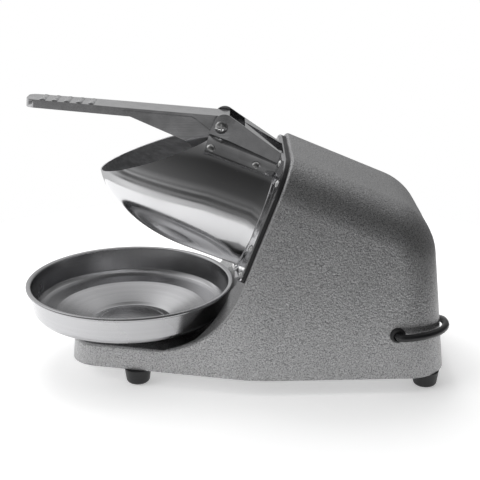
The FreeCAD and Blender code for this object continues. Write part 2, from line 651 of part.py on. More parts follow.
# ---------------------------------------------------------------- bracket
def cheek():
    """Left cheek (-Y side): a bent sheet with an inward flange on its sloping top and a tab on the plate."""
    start = PLATE_FACE
    bend = CHEEK_BEND_A
    plan = [(start, -CHEEK_GAP_REAR), (bend, -CHEEK_GAP), (110.0, -CHEEK_GAP),
            (110.0, -CHEEK_GAP - CHEEK), (bend - 1.0, -CHEEK_GAP - CHEEK), (start, -CHEEK_GAP_REAR - CHEEK)]
    band = Part.Face(Part.makePolygon([vec(0, y, a) for a, y in plan + plan[:1]])).extrude(vec(120, 0, 0))
    side = rounded_wire([(b, -60, a) for b, a in CHEEK_SIDE], CHEEK_RADII)
    sheet = band.common(Part.Face(side).extrude(vec(0, 60, 0)))
    # inward flange along the sloping top edge
    (b1, a1), (b2, a2) = CHEEK_SIDE[2], CHEEK_SIDE[3]
    k = (b2 - b1) / (a2 - a1)
    lo, hi = start, FLANGE_FRONT_A
    strip = [(b1 + (lo - a1) * k, lo), (b1 + (hi - a1) * k, hi), (b1 + (hi - a1) * k - CHEEK, hi),
             (b1 + (lo - a1) * k - CHEEK, lo)]
    strip = Part.Face(Part.makePolygon([vec(b, -60, a) for b, a in strip + strip[:1]])).extrude(vec(0, 60, 0))
    half = [(lo, -CHEEK_GAP_REAR - CHEEK), (CHEEK_BEND_A - 1.0, -CHEEK_GAP - CHEEK), (hi, -CHEEK_GAP - CHEEK),
            (hi, -FLANGE_GAP_FRONT), (lo, -FLANGE_GAP_REAR)]
    cover = Part.Face(Part.makePolygon([vec(0, y, a) for a, y in half + half[:1]])).extrude(vec(120, 0, 0))
    flange = strip.common(cover)
    tab = box((TAB_LOW_B, -TAB_HALF_WIDTH, start), (TAB_HIGH_B, -CHEEK_GAP_REAR - 0.5, start + CHEEK))
    body = sheet.fuse([flange, tab, saddle()])
    body = body.cut(cylinder(HOPPER_R, 200.0, (0, 0, 0)))
    body = body.cut(cylinder(HOPPER_R + HOPPER_FLANGE, HOPPER_FLANGE_T, (0, 0, start)))
    body = body.cut(cylinder(PIVOT_R, 200.0, (PIVOT_B, -100, PIVOT_A), (0, 1, 0)))
    for b, y in plate_screw_places():
        body = body.cut(cylinder(PLATE_SCREW_R + 0.1, 20.0, (b, y, 0)))
    return tilted(body.removeSplitter())


def saddle():
    """The cheek's outward flange: a strip of sheet bent round the drum, outside the cheek."""
    ring = tube(HOPPER_R + CHEEK, HOPPER_R, SADDLE_A - PLATE_FACE, (0, 0, PLATE_FACE))
    reach = 2.0 * HOPPER_R
    low = math.radians(SADDLE_ANGLE)
    wedge = [(0.0, 0.0), (reach, 0.0), (reach * math.cos(low), -reach * math.sin(low))]
    wedge = Part.Face(Part.makePolygon([vec(b, y, 0) for b, y in wedge + wedge[:1]])).extrude(vec(0, 0, 100))
    bend = CHEEK_BEND_A
    outside = [(0.0, -CHEEK_GAP_REAR - CHEEK / 2), (bend, -CHEEK_GAP - CHEEK / 2), (100.0, -CHEEK_GAP - CHEEK / 2),
               (100.0, -100.0), (0.0, -100.0)]
    outside = Part.Face(Part.makePolygon([vec(0, y, a) for a, y in outside + outside[:1]])).extrude(vec(100, 0, 0))
    return ring.common(wedge).common(outside)


def bracket_rivets():
    """Round-headed rivets through each saddle flange into the drum."""
    rivets = []
    for side in (-1, 1):
        for a, angle in RIVETS:
            head = turned(pan_head_plain(RIVET_R, 2.6), 90, axis=(0, 1, 0))
            head = moved(head, HOPPER_R + CHEEK - 0.2, 0, a)
            rivets.append(turned(head, side * angle))
    bodies = [r.cut(cylinder(HOPPER_R + CHEEK, 200.0)) for r in rivets]
    return tilted(Part.makeCompound(bodies))


def pan_head_plain(radius, height):
    dome_r = (radius ** 2 + height ** 2) / (2 * height)
    return Part.makeSphere(dome_r, vec(0, 0, height - dome_r)).common(cylinder(radius, height))


# ---------------------------------------------------------------- lever and presser
def lever_frame(shape):
    """From the lever's frame (origin on the pivot, X towards the heel, Z up from the sheet) to the part's."""
    px, pz = on_axis(PIVOT_A, PIVOT_B)
    result = turned(shape, LEVER_SLOPE, axis=(0, 1, 0))
    result.translate(vec(px, 0, pz))
    return result


def lever():
    px, pz = on_axis(PIVOT_A, PIVOT_B)
    tip = (LEVER_TIP_X - px) / math.cos(math.radians(LEVER_SLOPE))
    top = LEVER_ABOVE_PIVOT
    outer = lever_plan(tip, 0.0, top - LEVER_DEPTH, top)
    ears = side_prism([(-34.0, top), (LEVER_HEEL, top), (LEVER_HEEL, -8.0), (-9.0, -8.0)],
                      [0.0, 3.0, 6.0, 8.0], -LEVER_HALF_WIDTH, LEVER_HALF_WIDTH)
    inner = lever_plan(tip, LEVER_SHEET, -40.0, top - LEVER_SHEET)
    inner_heel = box((-60.0, -LEVER_HALF_WIDTH + LEVER_SHEET, -40.0),
                     (LEVER_HEEL + 10.0, LEVER_HALF_WIDTH - LEVER_SHEET, top - LEVER_SHEET))
    body = outer.fuse(ears).cut(inner).cut(inner_heel)
    for k in range(RIDGES):
        x = tip + RIDGE_START + k * RIDGE_PITCH
        half = LEVER_TIP_HALF_WIDTH - 1.5
        ridge = cylinder(RIDGE_R, 2 * half, (x, -half, top - RIDGE_R + RIDGE_PROUD), (0, 1, 0))
        body = body.fuse(ridge.common(box((tip, -30, top - 0.5), (0, 30, top + 5))))
    body = body.cut(cylinder(PIVOT_R + BUSH_WALL, 100.0, (0, -50, 0), (0, 1, 0)))
    return lever_frame(body.removeSplitter())


def lever_plan(tip, inset, low, high):
    half, narrow = LEVER_HALF_WIDTH - inset, LEVER_TIP_HALF_WIDTH - inset
    points = [(tip + inset, -narrow), (LEVER_TAPER_X, -half), (LEVER_HEEL, -half),
              (LEVER_HEEL, half), (LEVER_TAPER_X, half), (tip + inset, narrow)]
    corner = LEVER_TIP_R - inset
    return plan_prism(points, [corner, 0.0, 0.0, 0.0, 0.0, corner], low, high)


def presser_arm():
    """Right arm: a flat sheet on the outside of the lever's side, reaching down into the hopper."""
    wire = rounded_wire([(b, LEVER_HALF_WIDTH, a) for a, b in ARM_SIDE], ARM_RADII)
    sheet = Part.Face(wire).extrude(vec(0, ARM_SHEET, 0))
    return tilted(sheet)


def presser_plate():
    """Round plate that pushes the ice against the blades, with a turned-up tab for each arm."""
    disc = cylinder(PRESSER_R, PRESSER_T, (PRESSER_B, 0, PRESSER_A))
    for ring in PRESSER_RINGS:
        disc = disc.fuse(tube(ring + 1.0, ring - 1.0, 1.2, (PRESSER_B, 0, PRESSER_A - 1.2)))
    tabs = []
    for side in (-1, 1):
        y = side * (LEVER_HALF_WIDTH - PRESSER_T / 2)
        tabs.append(box((PRESSER_B - 24.0, y - PRESSER_T / 2, PRESSER_A + PRESSER_T),
                        (PRESSER_B + 28.0, y + PRESSER_T / 2, PRESSER_A + PRESSER_T + 16.0)))
    return tilted(disc.fuse(tabs).removeSplitter())


def presser_rivets():
    """Rivets that hold the arms to the presser plate's tabs and to the lever."""
    rivets = []
    for side in (-1, 1):
        y = side * (LEVER_HALF_WIDTH + ARM_SHEET)
        for a, b in [(PRESSER_A + 11.0, PRESSER_B - 14.0), (PRESSER_A + 11.0, PRESSER_B + 18.0)]:
            head = turned(pan_head_plain(2.6, 1.0), -90 * side, axis=(1, 0, 0))
            rivets.append(moved(head, b, y, a))
    return tilted(Part.makeCompound(rivets))


def pivot_at(shape):
    px, pz = on_axis(PIVOT_A, PIVOT_B)
    return moved(shape, px, 0, pz)


def pivot_screw():
    """Pan-head screw through both cheeks, its head on the -Y side."""
    outside = CHEEK_GAP + CHEEK
    head = turned(pan_head(6.3, 3.4), 90, axis=(1, 0, 0))
    shank = cylinder(PIVOT_R - RUN, 2 * outside + 9.0, (0, -outside, 0), (0, 1, 0))
    return pivot_at(moved(head, 0, -outside, 0).fuse(shank).removeSplitter())


def pivot_nut():
    outside = CHEEK_GAP + CHEEK
    hexagon = Part.Face(Part.makePolygon([vec(5.8 * math.cos(math.radians(60 * k)), 0,
                                              5.8 * math.sin(math.radians(60 * k))) for k in range(7)]))
    nut = hexagon.extrude(vec(0, 5.0, 0)).fuse(cylinder(4.6, 1.8, (0, 5.0, 0), (0, 1, 0)))
    nut = nut.cut(cylinder(PIVOT_R - RUN, 20.0, (0, -1, 0), (0, 1, 0)))
    return pivot_at(moved(nut.removeSplitter(), 0, outside, 0))


def pivot_bush(side):
    """Flanged plastic bush between a cheek and the lever's ear, turning on the screw."""
    flange = CHEEK_GAP - 0.1 - LEVER_HALF_WIDTH
    sleeve = cylinder(PIVOT_R + BUSH_WALL, LEVER_SHEET, (0, LEVER_HALF_WIDTH - LEVER_SHEET, 0), (0, 1, 0))
    collar = cylinder(PIVOT_R + 4.0, flange, (0, LEVER_HALF_WIDTH, 0), (0, 1, 0))
    bush = sleeve.fuse(collar).cut(cylinder(PIVOT_R, 60.0, (0, 0, 0), (0, 1, 0))).removeSplitter()
    return pivot_at(bush if side > 0 else mirrored(bush))


# ---------------------------------------------------------------- bowl
def bowl():
    """Spun sheet bowl: flat lip with a turned edge, upright wall, stepped shallow cone and a raised middle."""
    t = BOWL_WALL
    rim, floor = BOWL_RIM_Z, SEAT_Z
    outside = [(BOWL_R - 1.6, rim - 3.6), (BOWL_R, rim - 2.6), (BOWL_R, rim - 0.8), (BOWL_R - 0.8, rim),
               (BOWL_R - 6.5, rim - 0.6), (BOWL_R - 7.6, rim - 1.6)]
    inside = [(BOWL_R - 9.4, rim - 24.0), (BOWL_R - 12.0, rim - 27.6), (BOWL_R - 16.0, rim - 29.4),
              (BOWL_R - 29.0, rim - 31.0), (46.0, floor + 3.4), (42.0, floor + t), (36.0, floor + t),
              (32.0, floor + 3.4), (0.0, floor + 4.0)]
    under = [(0.0, floor + 4.0 - t), (32.4, floor + 3.4 - t), (36.4, floor), (42.4, floor),
             (46.6, floor + 3.4 - t), (BOWL_R - 28.6, rim - 31.0 - t), (BOWL_R - 15.6, rim - 29.4 - t),
             (BOWL_R - 11.0, rim - 27.6 - 0.6), (BOWL_R - 8.2, rim - 24.0), (BOWL_R - 6.4, rim - 2.4),
             (BOWL_R - 5.8, rim - 1.8), (BOWL_R - 2.0, rim - 1.4), (BOWL_R - 1.2, rim - 2.0)]
    return moved(revolved(outside + inside + under), BOWL_X, 0, 0)


# ---------------------------------------------------------------- cutting parts and motor
def blade_disc():
    disc = cylinder(DISC_R, DISC_T, (0, 0, DISC_FRONT - DISC_T))
    hub = cylinder(HUB_R, HUB_L, (0, 0, DISC_FRONT - DISC_T - HUB_L))
    paddles = [turned(box((HUB_R - 1, -1.5, DISC_FRONT - DISC_T - 9.0), (DISC_R - 3.0, 1.5, DISC_FRONT - DISC_T)),
                      120 * k + 60) for k in range(3)]
    disc = disc.fuse([hub] + paddles)
    for k in range(3):
        slot = box((17.0, -9.0, -30.0), (DISC_R - 4.0, -3.0, 30.0))
        disc = disc.cut(turned(slot, 120 * k))
        for r in BLADE_SCREW_R:
            disc = disc.cut(turned(cylinder(1.5, 20.0, (r, 3.0, -10.0)), 120 * k))
    return tilted(disc.cut(cylinder(SHAFT_R, 60.0, (0, 0, -40.0))).removeSplitter())


def blades():
    outline = [(16.0, -8.5), (DISC_R - 3.0, -8.5), (DISC_R - 3.0, 7.0), (16.0, 7.0)]
    blade = plan_prism(outline, [0.0, 0.0, 1.5, 1.5], DISC_FRONT, DISC_FRONT + BLADE_T)
    bevel = Part.Face(Part.makePolygon([vec(0, -9.0, DISC_FRONT - 0.1), vec(0, -6.0, DISC_FRONT - 0.1),
                                        vec(0, -9.0, DISC_FRONT + 1.1), vec(0, -9.0, DISC_FRONT - 0.1)]))
    blade = blade.cut(bevel.extrude(vec(80, 0, 0)))
    for r in BLADE_SCREW_R:
        blade = blade.cut(cylinder(1.6, 20.0, (r, 3.0, -10.0)))
    return tilted(Part.makeCompound([turned(blade, 120 * k) for k in range(3)]))


def blade_screws():
    one = screw(2.8, 1.4, 1.45, BLADE_T + DISC_T)
    places = [(r, 3.0, DISC_FRONT + BLADE_T) for r in BLADE_SCREW_R]
    return tilted(Part.makeCompound([turned(moved(one, *p), 120 * k) for k in range(3) for p in places]))


def disc_nut():
    corners = [vec(8.0 * math.cos(math.radians(60 * k)), 8.0 * math.sin(math.radians(60 * k)), DISC_FRONT)
               for k in range(7)]
    nut = Part.Face(Part.makePolygon(corners)).extrude(vec(0, 0, 4.5))
    return tilted(nut.cut(cylinder(SHAFT_R - 1.0, 20.0, (0, 0, DISC_FRONT - 2.0))))


def motor_shaft():
    rear = MOTOR_REAR_A - FAN_SPACE
    body = cylinder(SHAFT_R, DISC_FRONT - rear, (0, 0, rear))
    thread = cylinder(SHAFT_R - 1.0, 5.5, (0, 0, DISC_FRONT))
    return tilted(body.fuse(thread).removeSplitter())


def shaft_seal():
    base = -CHAMBER_DEPTH - BULKHEAD - SEAL_T
    return tilted(tube(SEAL_R, SHAFT_R + RUN, SEAL_T, (0, 0, base)))


def bearing(base):
    """Ball bearing: two rings with a shield between them."""
    outer = tube(BEARING_R, BEARING_R - 2.2, BEARING_T, (0, 0, base))
    shield = tube(BEARING_R - 2.2, SHAFT_R + 2.0, BEARING_T - 2.0, (0, 0, base + 1.0))
    inner = tube(SHAFT_R + 2.0, SHAFT_R + RUN, BEARING_T, (0, 0, base))
    return tilted(outer.fuse([shield, inner]).removeSplitter())


def motor_bell(base, inward):
    """End bell: a shallow cup with a bearing seat; inward is the side that the cup opens to."""
    cup = cylinder(MOTOR_R, BELL_L, (0, 0, base))
    hollow_base = base + BELL_FLOOR if inward > 0 else base - 1.0
    cup = cup.cut(cylinder(MOTOR_R - 3.0, BELL_L - BELL_FLOOR + 1.0, (0, 0, hollow_base)))
    seat_base = base if inward > 0 else base + BELL_L - BEARING_T - 1.0
    cup = cup.fuse(cylinder(BEARING_R + 3.0, BEARING_T + 1.0, (0, 0, seat_base)))
    pocket = seat_base + 1.0 if inward > 0 else seat_base
    cup = cup.cut(cylinder(BEARING_R, BEARING_T, (0, 0, pocket)))
    cup = cup.cut(cylinder(SHAFT_R + 1.0, 60.0, (0, 0, base - 20.0)))
    for place in bolt_places():
        cup = cup.fuse(cylinder(BOLT_R + 3.0, BELL_L, (*place, base)))
    for place in bolt_places():
        cup = cup.cut(cylinder(BOLT_R + 0.1, 60.0, (*place, base - 20.0)))
    return tilted(cup.removeSplitter())


def stator_core():
    core = cylinder(MOTOR_R, STATOR_L, (0, 0, STATOR_A))
    core = core.cut(cylinder(ROTOR_R + 0.6, STATOR_L + 10.0, (0, 0, STATOR_A - 5.0)))
    for k in range(12):
        slot = box((ROTOR_R - 1.0, -1.3, STATOR_A - 5.0), (SLOT_R, 1.3, STATOR_A + STATOR_L + 5.0))
        core = core.cut(turned(slot, 30 * k))
    for place in bolt_places():
        core = core.cut(cylinder(BOLT_R + 0.1, STATOR_L + 10.0, (*place, STATOR_A - 5.0)))
    return tilted(core)


def windings():
    """Two end turns of copper wire on the stator's faces."""
    front = tube(SLOT_R, ROTOR_R + 2.0, WINDING_L, (0, 0, STATOR_A + STATOR_L))
    rear = tube(SLOT_R, ROTOR_R + 2.0, WINDING_L, (0, 0, STATOR_A - WINDING_L))
    return tilted(Part.makeCompound([front, rear]))


def rotor_core():
    core = tube(ROTOR_R, SHAFT_R, STATOR_L, (0, 0, STATOR_A))
    for k in range(16):
        bar = cylinder(1.4, STATOR_L + 10.0, (ROTOR_R - 3.0, 0, STATOR_A - 5.0))
        core = core.cut(turned(bar, 22.5 * k))
    return tilted(core)


def cooling_fan():
    base = MOTOR_REAR_A - FAN_SPACE + 2.0
    hub = tube(9.0, SHAFT_R, FAN_T, (0, 0, base))
    back = tube(FAN_R - 8.0, 8.0, 1.5, (0, 0, base))
    blades_ = [turned(box((8.0, -0.8, base), (FAN_R, 0.8, base + FAN_T)), 45 * k) for k in range(8)]
    return tilted(hub.fuse([back] + blades_).removeSplitter())


def through_bolts():
    front = MOTOR_FRONT_A + BOLT_GRIP
    length = front - MOTOR_REAR_A
    bolts = []
    for place in bolt_places():
        bolt = cylinder(BOLT_R, length, (*place, MOTOR_REAR_A)).fuse(cylinder(4.0, 3.0, (*place, MOTOR_REAR_A - 3.0)))
        bolts.append(bolt.removeSplitter())
    return tilted(Part.makeCompound(bolts))


# ---------------------------------------------------------------- electrics
def capacitor():
    can = cylinder(CAPACITOR_R, CAPACITOR_L, (CAPACITOR_X, CAPACITOR_Y, CAPACITOR_Z), (1, 0, 0))
    pins = [cylinder(1.2, 7.0, (CAPACITOR_X + CAPACITOR_L, CAPACITOR_Y + d, CAPACITOR_Z), (1, 0, 0)) for d in (-5, 5)]
    return can.fuse(pins).removeSplitter()


def capacitor_clip():
    """Sheet saddle over the can, with two feet on the base cover."""
    x, width, inner, t = CAPACITOR_X + 20.0, 12.0, CAPACITOR_R + CLIP_GAP, CLIP_SHEET
    ring = tube(inner + t, inner, width, (x, CAPACITOR_Y, CAPACITOR_Z), (1, 0, 0))
    legs = []
    for side in (-1, 1):
        for reach, top in ((inner + t, CAPACITOR_Z), (inner + 9.0, COVER_TOP + t)):
            low, high = sorted((CAPACITOR_Y + side * inner, CAPACITOR_Y + side * reach))
            legs.append(box((x, low, COVER_TOP), (x + width, high, top)))
    upper = ring.common(box((x, -300, CAPACITOR_Z), (x + width, 300, 300)))
    return upper.fuse(legs).removeSplitter()


def terminal_block():
    low = (TERMINAL_X, TERMINAL_Y, COVER_TOP)
    block = box(low, (TERMINAL_X + 40.0, TERMINAL_Y + 16.0, COVER_TOP + 14.0))
    for k in range(4):
        x = TERMINAL_X + 5.0 + 10.0 * k
        block = block.cut(cylinder(2.2, 10.0, (x, TERMINAL_Y + 8.0, COVER_TOP + 8.0)))
        block = block.cut(cylinder(1.6, 20.0, (x, TERMINAL_Y - 1.0, COVER_TOP + 5.0), (0, 1, 0)))
    return block


def switch_body():
    """Snap-in switch frame in the right wall, with its case and terminals inside the casting."""
    x, z, wall = SWITCH_X, SWITCH_Z, wall_y(SWITCH_X, SWITCH_Z)
    bezel = box((x - SWITCH_L / 2 - 2.0, wall, z - SWITCH_H / 2 - 2.0),
                (x + SWITCH_L / 2 + 2.0, wall + 2.0, z + SWITCH_H / 2 + 2.0))
    case = box((x - SWITCH_L / 2 + SEAT_GAP, wall - 22.0, z - SWITCH_H / 2 + SEAT_GAP),
               (x + SWITCH_L / 2 - SEAT_GAP, wall, z + SWITCH_H / 2 - SEAT_GAP))
    well = box((x - ROCKER_L / 2 - 0.5, wall - ROCKER_DEPTH, z - ROCKER_H / 2 - 0.5),
               (x + ROCKER_L / 2 + 0.5, wall + 10.0, z + ROCKER_H / 2 + 0.5))
    terminals = [box((x + d - 0.4, wall - 30.0, z - 3.0), (x + d + 0.4, wall - 22.0, z + 3.0)) for d in (-7, 0, 7)]
    pin = cylinder(ROCKER_PIN_R, ROCKER_L + 3.0, (x - ROCKER_L / 2 - 1.5, wall - ROCKER_PIN, z), (1, 0, 0))
    body = bezel.fuse([case] + terminals).cut(well).fuse(pin).removeSplitter()
    return on_wall(body, x, z, 1)


def rocker():
    """Rocker on its pin: two faces at an angle, the lower one pressed in."""
    x, wall, half = SWITCH_X, wall_y(SWITCH_X, SWITCH_Z), ROCKER_H / 2
    profile = [(-3.6, -half + 1.6), (0.2, -half + 1.2), (-0.2, 0.0), (3.4, half - 1.4), (-1.6, half - 2.4),
               (-5.4, 1.4), (-5.4, -1.4)]
    corners = [vec(x - ROCKER_L / 2, wall + y, SWITCH_Z + z) for y, z in profile]
    body = Part.Face(Part.makePolygon(corners + corners[:1])).extrude(vec(ROCKER_L, 0, 0))
    pin = cylinder(ROCKER_PIN_R + RUN, ROCKER_L + 4.0, (x - ROCKER_L / 2 - 2.0, wall - ROCKER_PIN, SWITCH_Z), (1, 0, 0))
    return on_wall(body.cut(pin), x, SWITCH_Z, 1)


def grommet():
    """Rubber grommet in the left wall: outer flange, neck and inner flange round the cord."""
    x, y, z = GROMMET_X, -wall_y(GROMMET_X, GROMMET_Z), GROMMET_Z
    neck = cylinder(GROMMET_NECK_R, WALL + 2.0, (x, y - 1.0, z), (0, 1, 0))
    outer = Part.makeCone(GROMMET_R, GROMMET_R - 1.8, GROMMET_PROUD, vec(x, y, z), vec(0, -1, 0))
    inner = cylinder(GROMMET_R, 2.0, (x, y + WALL, z), (0, 1, 0))
    ring = on_wall(neck.fuse([outer, inner]), x, z, -1)
    mouth = Part.makeCone(CORD_R, CORD_R + 1.2, 2.0, vec(x, y - GROMMET_PROUD + 1.2, z), vec(0, -1, 0))
    return ring.cut([cylinder(CORD_R, 60.0, (x, y - 20.0, z), (0, 1, 0)), mouth]).removeSplitter()


def cord_clamp():
    """Saddle clamp on the base cover that grips the lead inside the casting."""
    x, y = CLAMP_X, CLAMP_Y
    block = box((x - 11.0, y - 5.0, COVER_TOP), (x + 11.0, y + 5.0, INNER_LEAD_Z + CORD_R + 3.0))
    return block.cut(cylinder(CORD_R, 40.0, (x, y - 20.0, INNER_LEAD_Z), (0, 1, 0)))


def ice_chute():
    """Sheet lining of the ice outlet: a sloping floor and two low cheeks, its lip over the bowl's rim."""
    points, radii = outlet_side(0.0)
    slope = (points[1][1] - points[0][1]) / (points[1][0] - points[0][0])
    low = OUTLET_Z + (CHUTE_X - points[0][0]) * slope
    high = low + CHUTE_L * slope
    side = [(CHUTE_X, low), (CHUTE_X + CHUTE_L, high), (CHUTE_X + CHUTE_L, high + CHUTE_SIDE),
            (CHUTE_X, low + CHUTE_SIDE)]
    half = OUTLET_HALF_WIDTH - SEAT_GAP
    block = side_prism(side, radii, -half, half)
    inside = [(x, z + CHUTE_SHEET) for x, z in side]
    inside = [(x + dx, z) for (x, z), dx in zip(inside, (-5.0, 5.0, 5.0, -5.0))]
    inside = [(x, z + dx * slope) for (x, z), dx in zip(inside, (-5.0, 5.0, 5.0, -5.0))]
    return block.cut(side_prism(inside, radii, CHUTE_SHEET - half, half - CHUTE_SHEET))


def swept(points):
    """Round lead along straight runs joined by tangent arcs; prints the arcs' radii and the length."""
    corners = [vec(*p) for p in points]
    edges = []
    radii = []
    last = corners[0]
    for before, here, after in zip(corners, corners[1:], corners[2:]):
        back, ahead = before - here, after - here
        shorter = min(back.Length, ahead.Length)
        half = back.getAngle(ahead) / 2.0
        radius = 0.45 * shorter * math.tan(half)
        back.normalize()
        ahead.normalize()
        centre = here + (back + ahead).normalize() * (radius / math.sin(half))
        start, end = here + back * (0.45 * shorter), here + ahead * (0.45 * shorter)
        middle = centre + (here - centre).normalize() * radius
        edges.append(Part.LineSegment(last, start).toShape())
        edges.append(Part.Arc(start, middle, end).toShape())
        radii.append(round(radius, 1))
        last = end
    edges.append(Part.LineSegment(last, corners[-1]).toShape())
    path = Part.Wire(edges)
    ring = Part.Wire([Part.Circle(corners[0], corners[1] - corners[0], CORD_R).toShape()])
    print("lead: length", round(path.Length, 1), "arcs", radii)
    return path.makePipeShell([ring], True, False)


def cord_start():
    return (GROMMET_X, -wall_y(GROMMET_X, GROMMET_Z), GROMMET_Z)


def inner_lead():
    """The lead from the grommet, through the clamp, to the terminal block."""
    return swept([cord_start()] + INNER_LEAD)


def power_cord():
    return swept([cord_start()] + CORD_ROUTE)


def coil_section(grow):
    """Half widths of the coil: across its rows, and up its layers."""
    return COIL_ROWS * CORD_R + grow, COIL_LAYERS * CORD_R + grow


def cord_coil():
    """Outer shape of the lead that is wound up: a ring of rows beside and on each other."""
    across, up = coil_section(0.0)
    ring = tube(COIL_R + across, COIL_R - across, 2 * up, (COIL_X, COIL_Y, 0))
    rims = [e for e in ring.Edges if e.isClosed()]
    print("coil: length", round(2 * math.pi * COIL_R * COIL_ROWS * COIL_LAYERS, 1))
    return ring.makeFillet(CORD_R - 0.1, rims).cut(cord_tie())


def cord_tie():
    """Wire tie round the coil's section."""
    across, up = coil_section(0.0)
    outer = box((COIL_R - across - TIE_T, -TIE_W / 2, 0), (COIL_R + across + TIE_T, TIE_W / 2, 2 * up + TIE_T))
    inner = box((COIL_R - across, -TIE_W, TIE_T), (COIL_R + across, TIE_W, 2 * up))
    return moved(turned(outer.cut(inner), TIE_ANGLE), COIL_X, COIL_Y, 0)


def cord_tail():
    return swept(TAIL_ROUTE)


def plug():
    """Three-pin plug lying on its side, its boot at the end of the tail."""
    body = box((PLUG_BOOT, -PLUG_W / 2, -PLUG_H / 2), (PLUG_BOOT + PLUG_L, PLUG_W / 2, PLUG_H / 2))
    body = body.makeFillet(5.0, [e for e in body.Edges if abs(e.Vertexes[0].X - e.Vertexes[1].X) > 1.0])
    boot = Part.makeCone(CORD_R + 1.2, PLUG_H / 2 - 2.0, PLUG_BOOT, vec(0, 0, 0), vec(1, 0, 0))
    face = PLUG_BOOT + PLUG_L
    pins = [box((face, -7.1, z - 0.75), (face + 16.0, -0.8, z + 0.75)) for z in (-6.35, 6.35)]
    pins.append(cylinder(2.4, 19.0, (face, 7.9, 0), (1, 0, 0)))
    whole = body.fuse([boot] + pins).cut(cylinder(CORD_R, 6.0, (-1, 0, 0), (1, 0, 0)))
    x, y, z = TAIL_ROUTE[-1]
    whole = turned(whole.removeSplitter(), PLUG_TURN)
    reach = 5.0
    turn = math.radians(PLUG_TURN)
    return moved(whole, x - reach * math.cos(turn), y - reach * math.sin(turn), z)


# ---------------------------------------------------------------- all pieces
def pieces():
    left_cheek = cheek()
    right_arm = presser_arm()
    feet = dict(zip(("foot_front_left", "foot_front_right", "foot_rear_left", "foot_rear_right"), foot_places()))
    made = {
        "housing_shell": housing_shell(),
        "base_cover": base_cover(),
        "cover_screws": cover_screws(),
        "foot_screws": foot_screws(),
        "front_gasket": plate_prism(GASKET, 0.0, CHAMBER_R),
        "front_plate": plate_prism(PLATE, GASKET, HOPPER_R - HOPPER_WALL),
        "plate_screws": plate_screws(),
        "hopper": hopper(),
        "bracket_left": left_cheek,
        "bracket_right": mirrored(left_cheek),
        "bracket_rivets": bracket_rivets(),
        "pivot_screw": pivot_screw(),
        "pivot_nut": pivot_nut(),
        "ice_chute": ice_chute(),
        "lever": lever(),
        "presser_arm_left": mirrored(right_arm),
        "presser_arm_right": right_arm,
        "presser_plate": presser_plate(),
        "presser_rivets": presser_rivets(),
        "pivot_bush_left": pivot_bush(-1),
        "pivot_bush_right": pivot_bush(1),
        "bowl": bowl(),
        "blade_disc": blade_disc(),
        "blades": blades(),
        "blade_screws": blade_screws(),
        "disc_nut": disc_nut(),
        "motor_shaft": motor_shaft(),
        "shaft_seal": shaft_seal(),
        "front_bearing": bearing(FRONT_BELL_A + BELL_L - BEARING_T - 1.0),
        "rear_bearing": bearing(MOTOR_REAR_A + 1.0),
        "front_bell": motor_bell(FRONT_BELL_A, -1),
        "rear_bell": motor_bell(MOTOR_REAR_A, 1),
        "stator_core": stator_core(),
        "windings": windings(),
        "rotor_core": rotor_core(),
        "cooling_fan": cooling_fan(),
        "through_bolts": through_bolts(),
        "capacitor": capacitor(),
        "capacitor_clip": capacitor_clip(),
        "terminal_block": terminal_block(),
        "switch_body": switch_body(),
        "rocker": rocker(),
        "grommet": grommet(),
        "cord_clamp": cord_clamp(),
        "inner_lead": inner_lead(),
        "power_cord": power_cord(),
        "cord_coil": cord_coil(),
        "cord_tie": cord_tie(),
        "cord_tail": cord_tail(),
        "plug": plug(),
    }
    made.update({name: foot(place) for name, place in feet.items()})
    return made


os.makedirs(PARTS, exist_ok=True)
for node, shape in pieces().items():
    shape.exportStep(os.path.join(PARTS, node + ".step"))
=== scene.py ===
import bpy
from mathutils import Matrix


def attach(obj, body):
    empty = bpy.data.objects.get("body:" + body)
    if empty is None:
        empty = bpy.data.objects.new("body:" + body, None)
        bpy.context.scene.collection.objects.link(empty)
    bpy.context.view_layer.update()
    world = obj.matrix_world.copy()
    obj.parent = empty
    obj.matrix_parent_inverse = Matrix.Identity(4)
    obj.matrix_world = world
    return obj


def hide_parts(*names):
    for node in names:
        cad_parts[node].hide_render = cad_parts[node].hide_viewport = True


bl_info = {
    "name": "Ice shaver",
    "version": (1, 0, 0),
    "blender": (4, 5, 0),
    "location": "View3D > Sidebar > Ice shaver",
    "description": "Finishes, sheet-metal pieces and mains lead of a lever-press ice shaver, around its packed frame",
    "category": "Object",
}

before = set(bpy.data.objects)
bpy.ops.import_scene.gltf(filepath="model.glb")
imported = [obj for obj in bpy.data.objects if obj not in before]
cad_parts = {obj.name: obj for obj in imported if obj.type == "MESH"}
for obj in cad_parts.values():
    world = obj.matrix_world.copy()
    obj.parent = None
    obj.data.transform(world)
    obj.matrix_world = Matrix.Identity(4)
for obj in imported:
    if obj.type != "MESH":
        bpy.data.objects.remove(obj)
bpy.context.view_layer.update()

import math

import bmesh
import bpy
from bpy.props import FloatProperty, FloatVectorProperty, PointerProperty
from mathutils import Matrix, Vector

MM = 0.001

# The motor's own frame: X up from the motor axis, Y across, Z forwards along the axis.
FACE_TILT = math.radians(21.5)
MOTOR_CENTRE = (0.0311, 0.0, 0.1519)
MOTOR_TURN = FACE_TILT - math.pi / 2
MOTOR = Matrix.Translation(MOTOR_CENTRE) @ Matrix.Rotation(MOTOR_TURN, 4, "Y")
BOWL_CENTRE = (-0.1025, 0.0, 0.0)

# Vertices nearer than this are one:
WELD = 0.00002            # in a CAD node
SEAM = 0.00001            # where a spin closes
DOUBLE = 0.000005         # in a finished piece


# ---------------------------------------------------------------- sizes and colours
def size(name, description, default, low=0.0, high=1.0):
    return FloatProperty(name=name, description=description, default=default, min=low, max=high,
                         subtype="DISTANCE", unit="LENGTH")


def share(name, description, default):
    return FloatProperty(name=name, description=description, default=default, min=0.0, max=1.0, subtype="FACTOR")


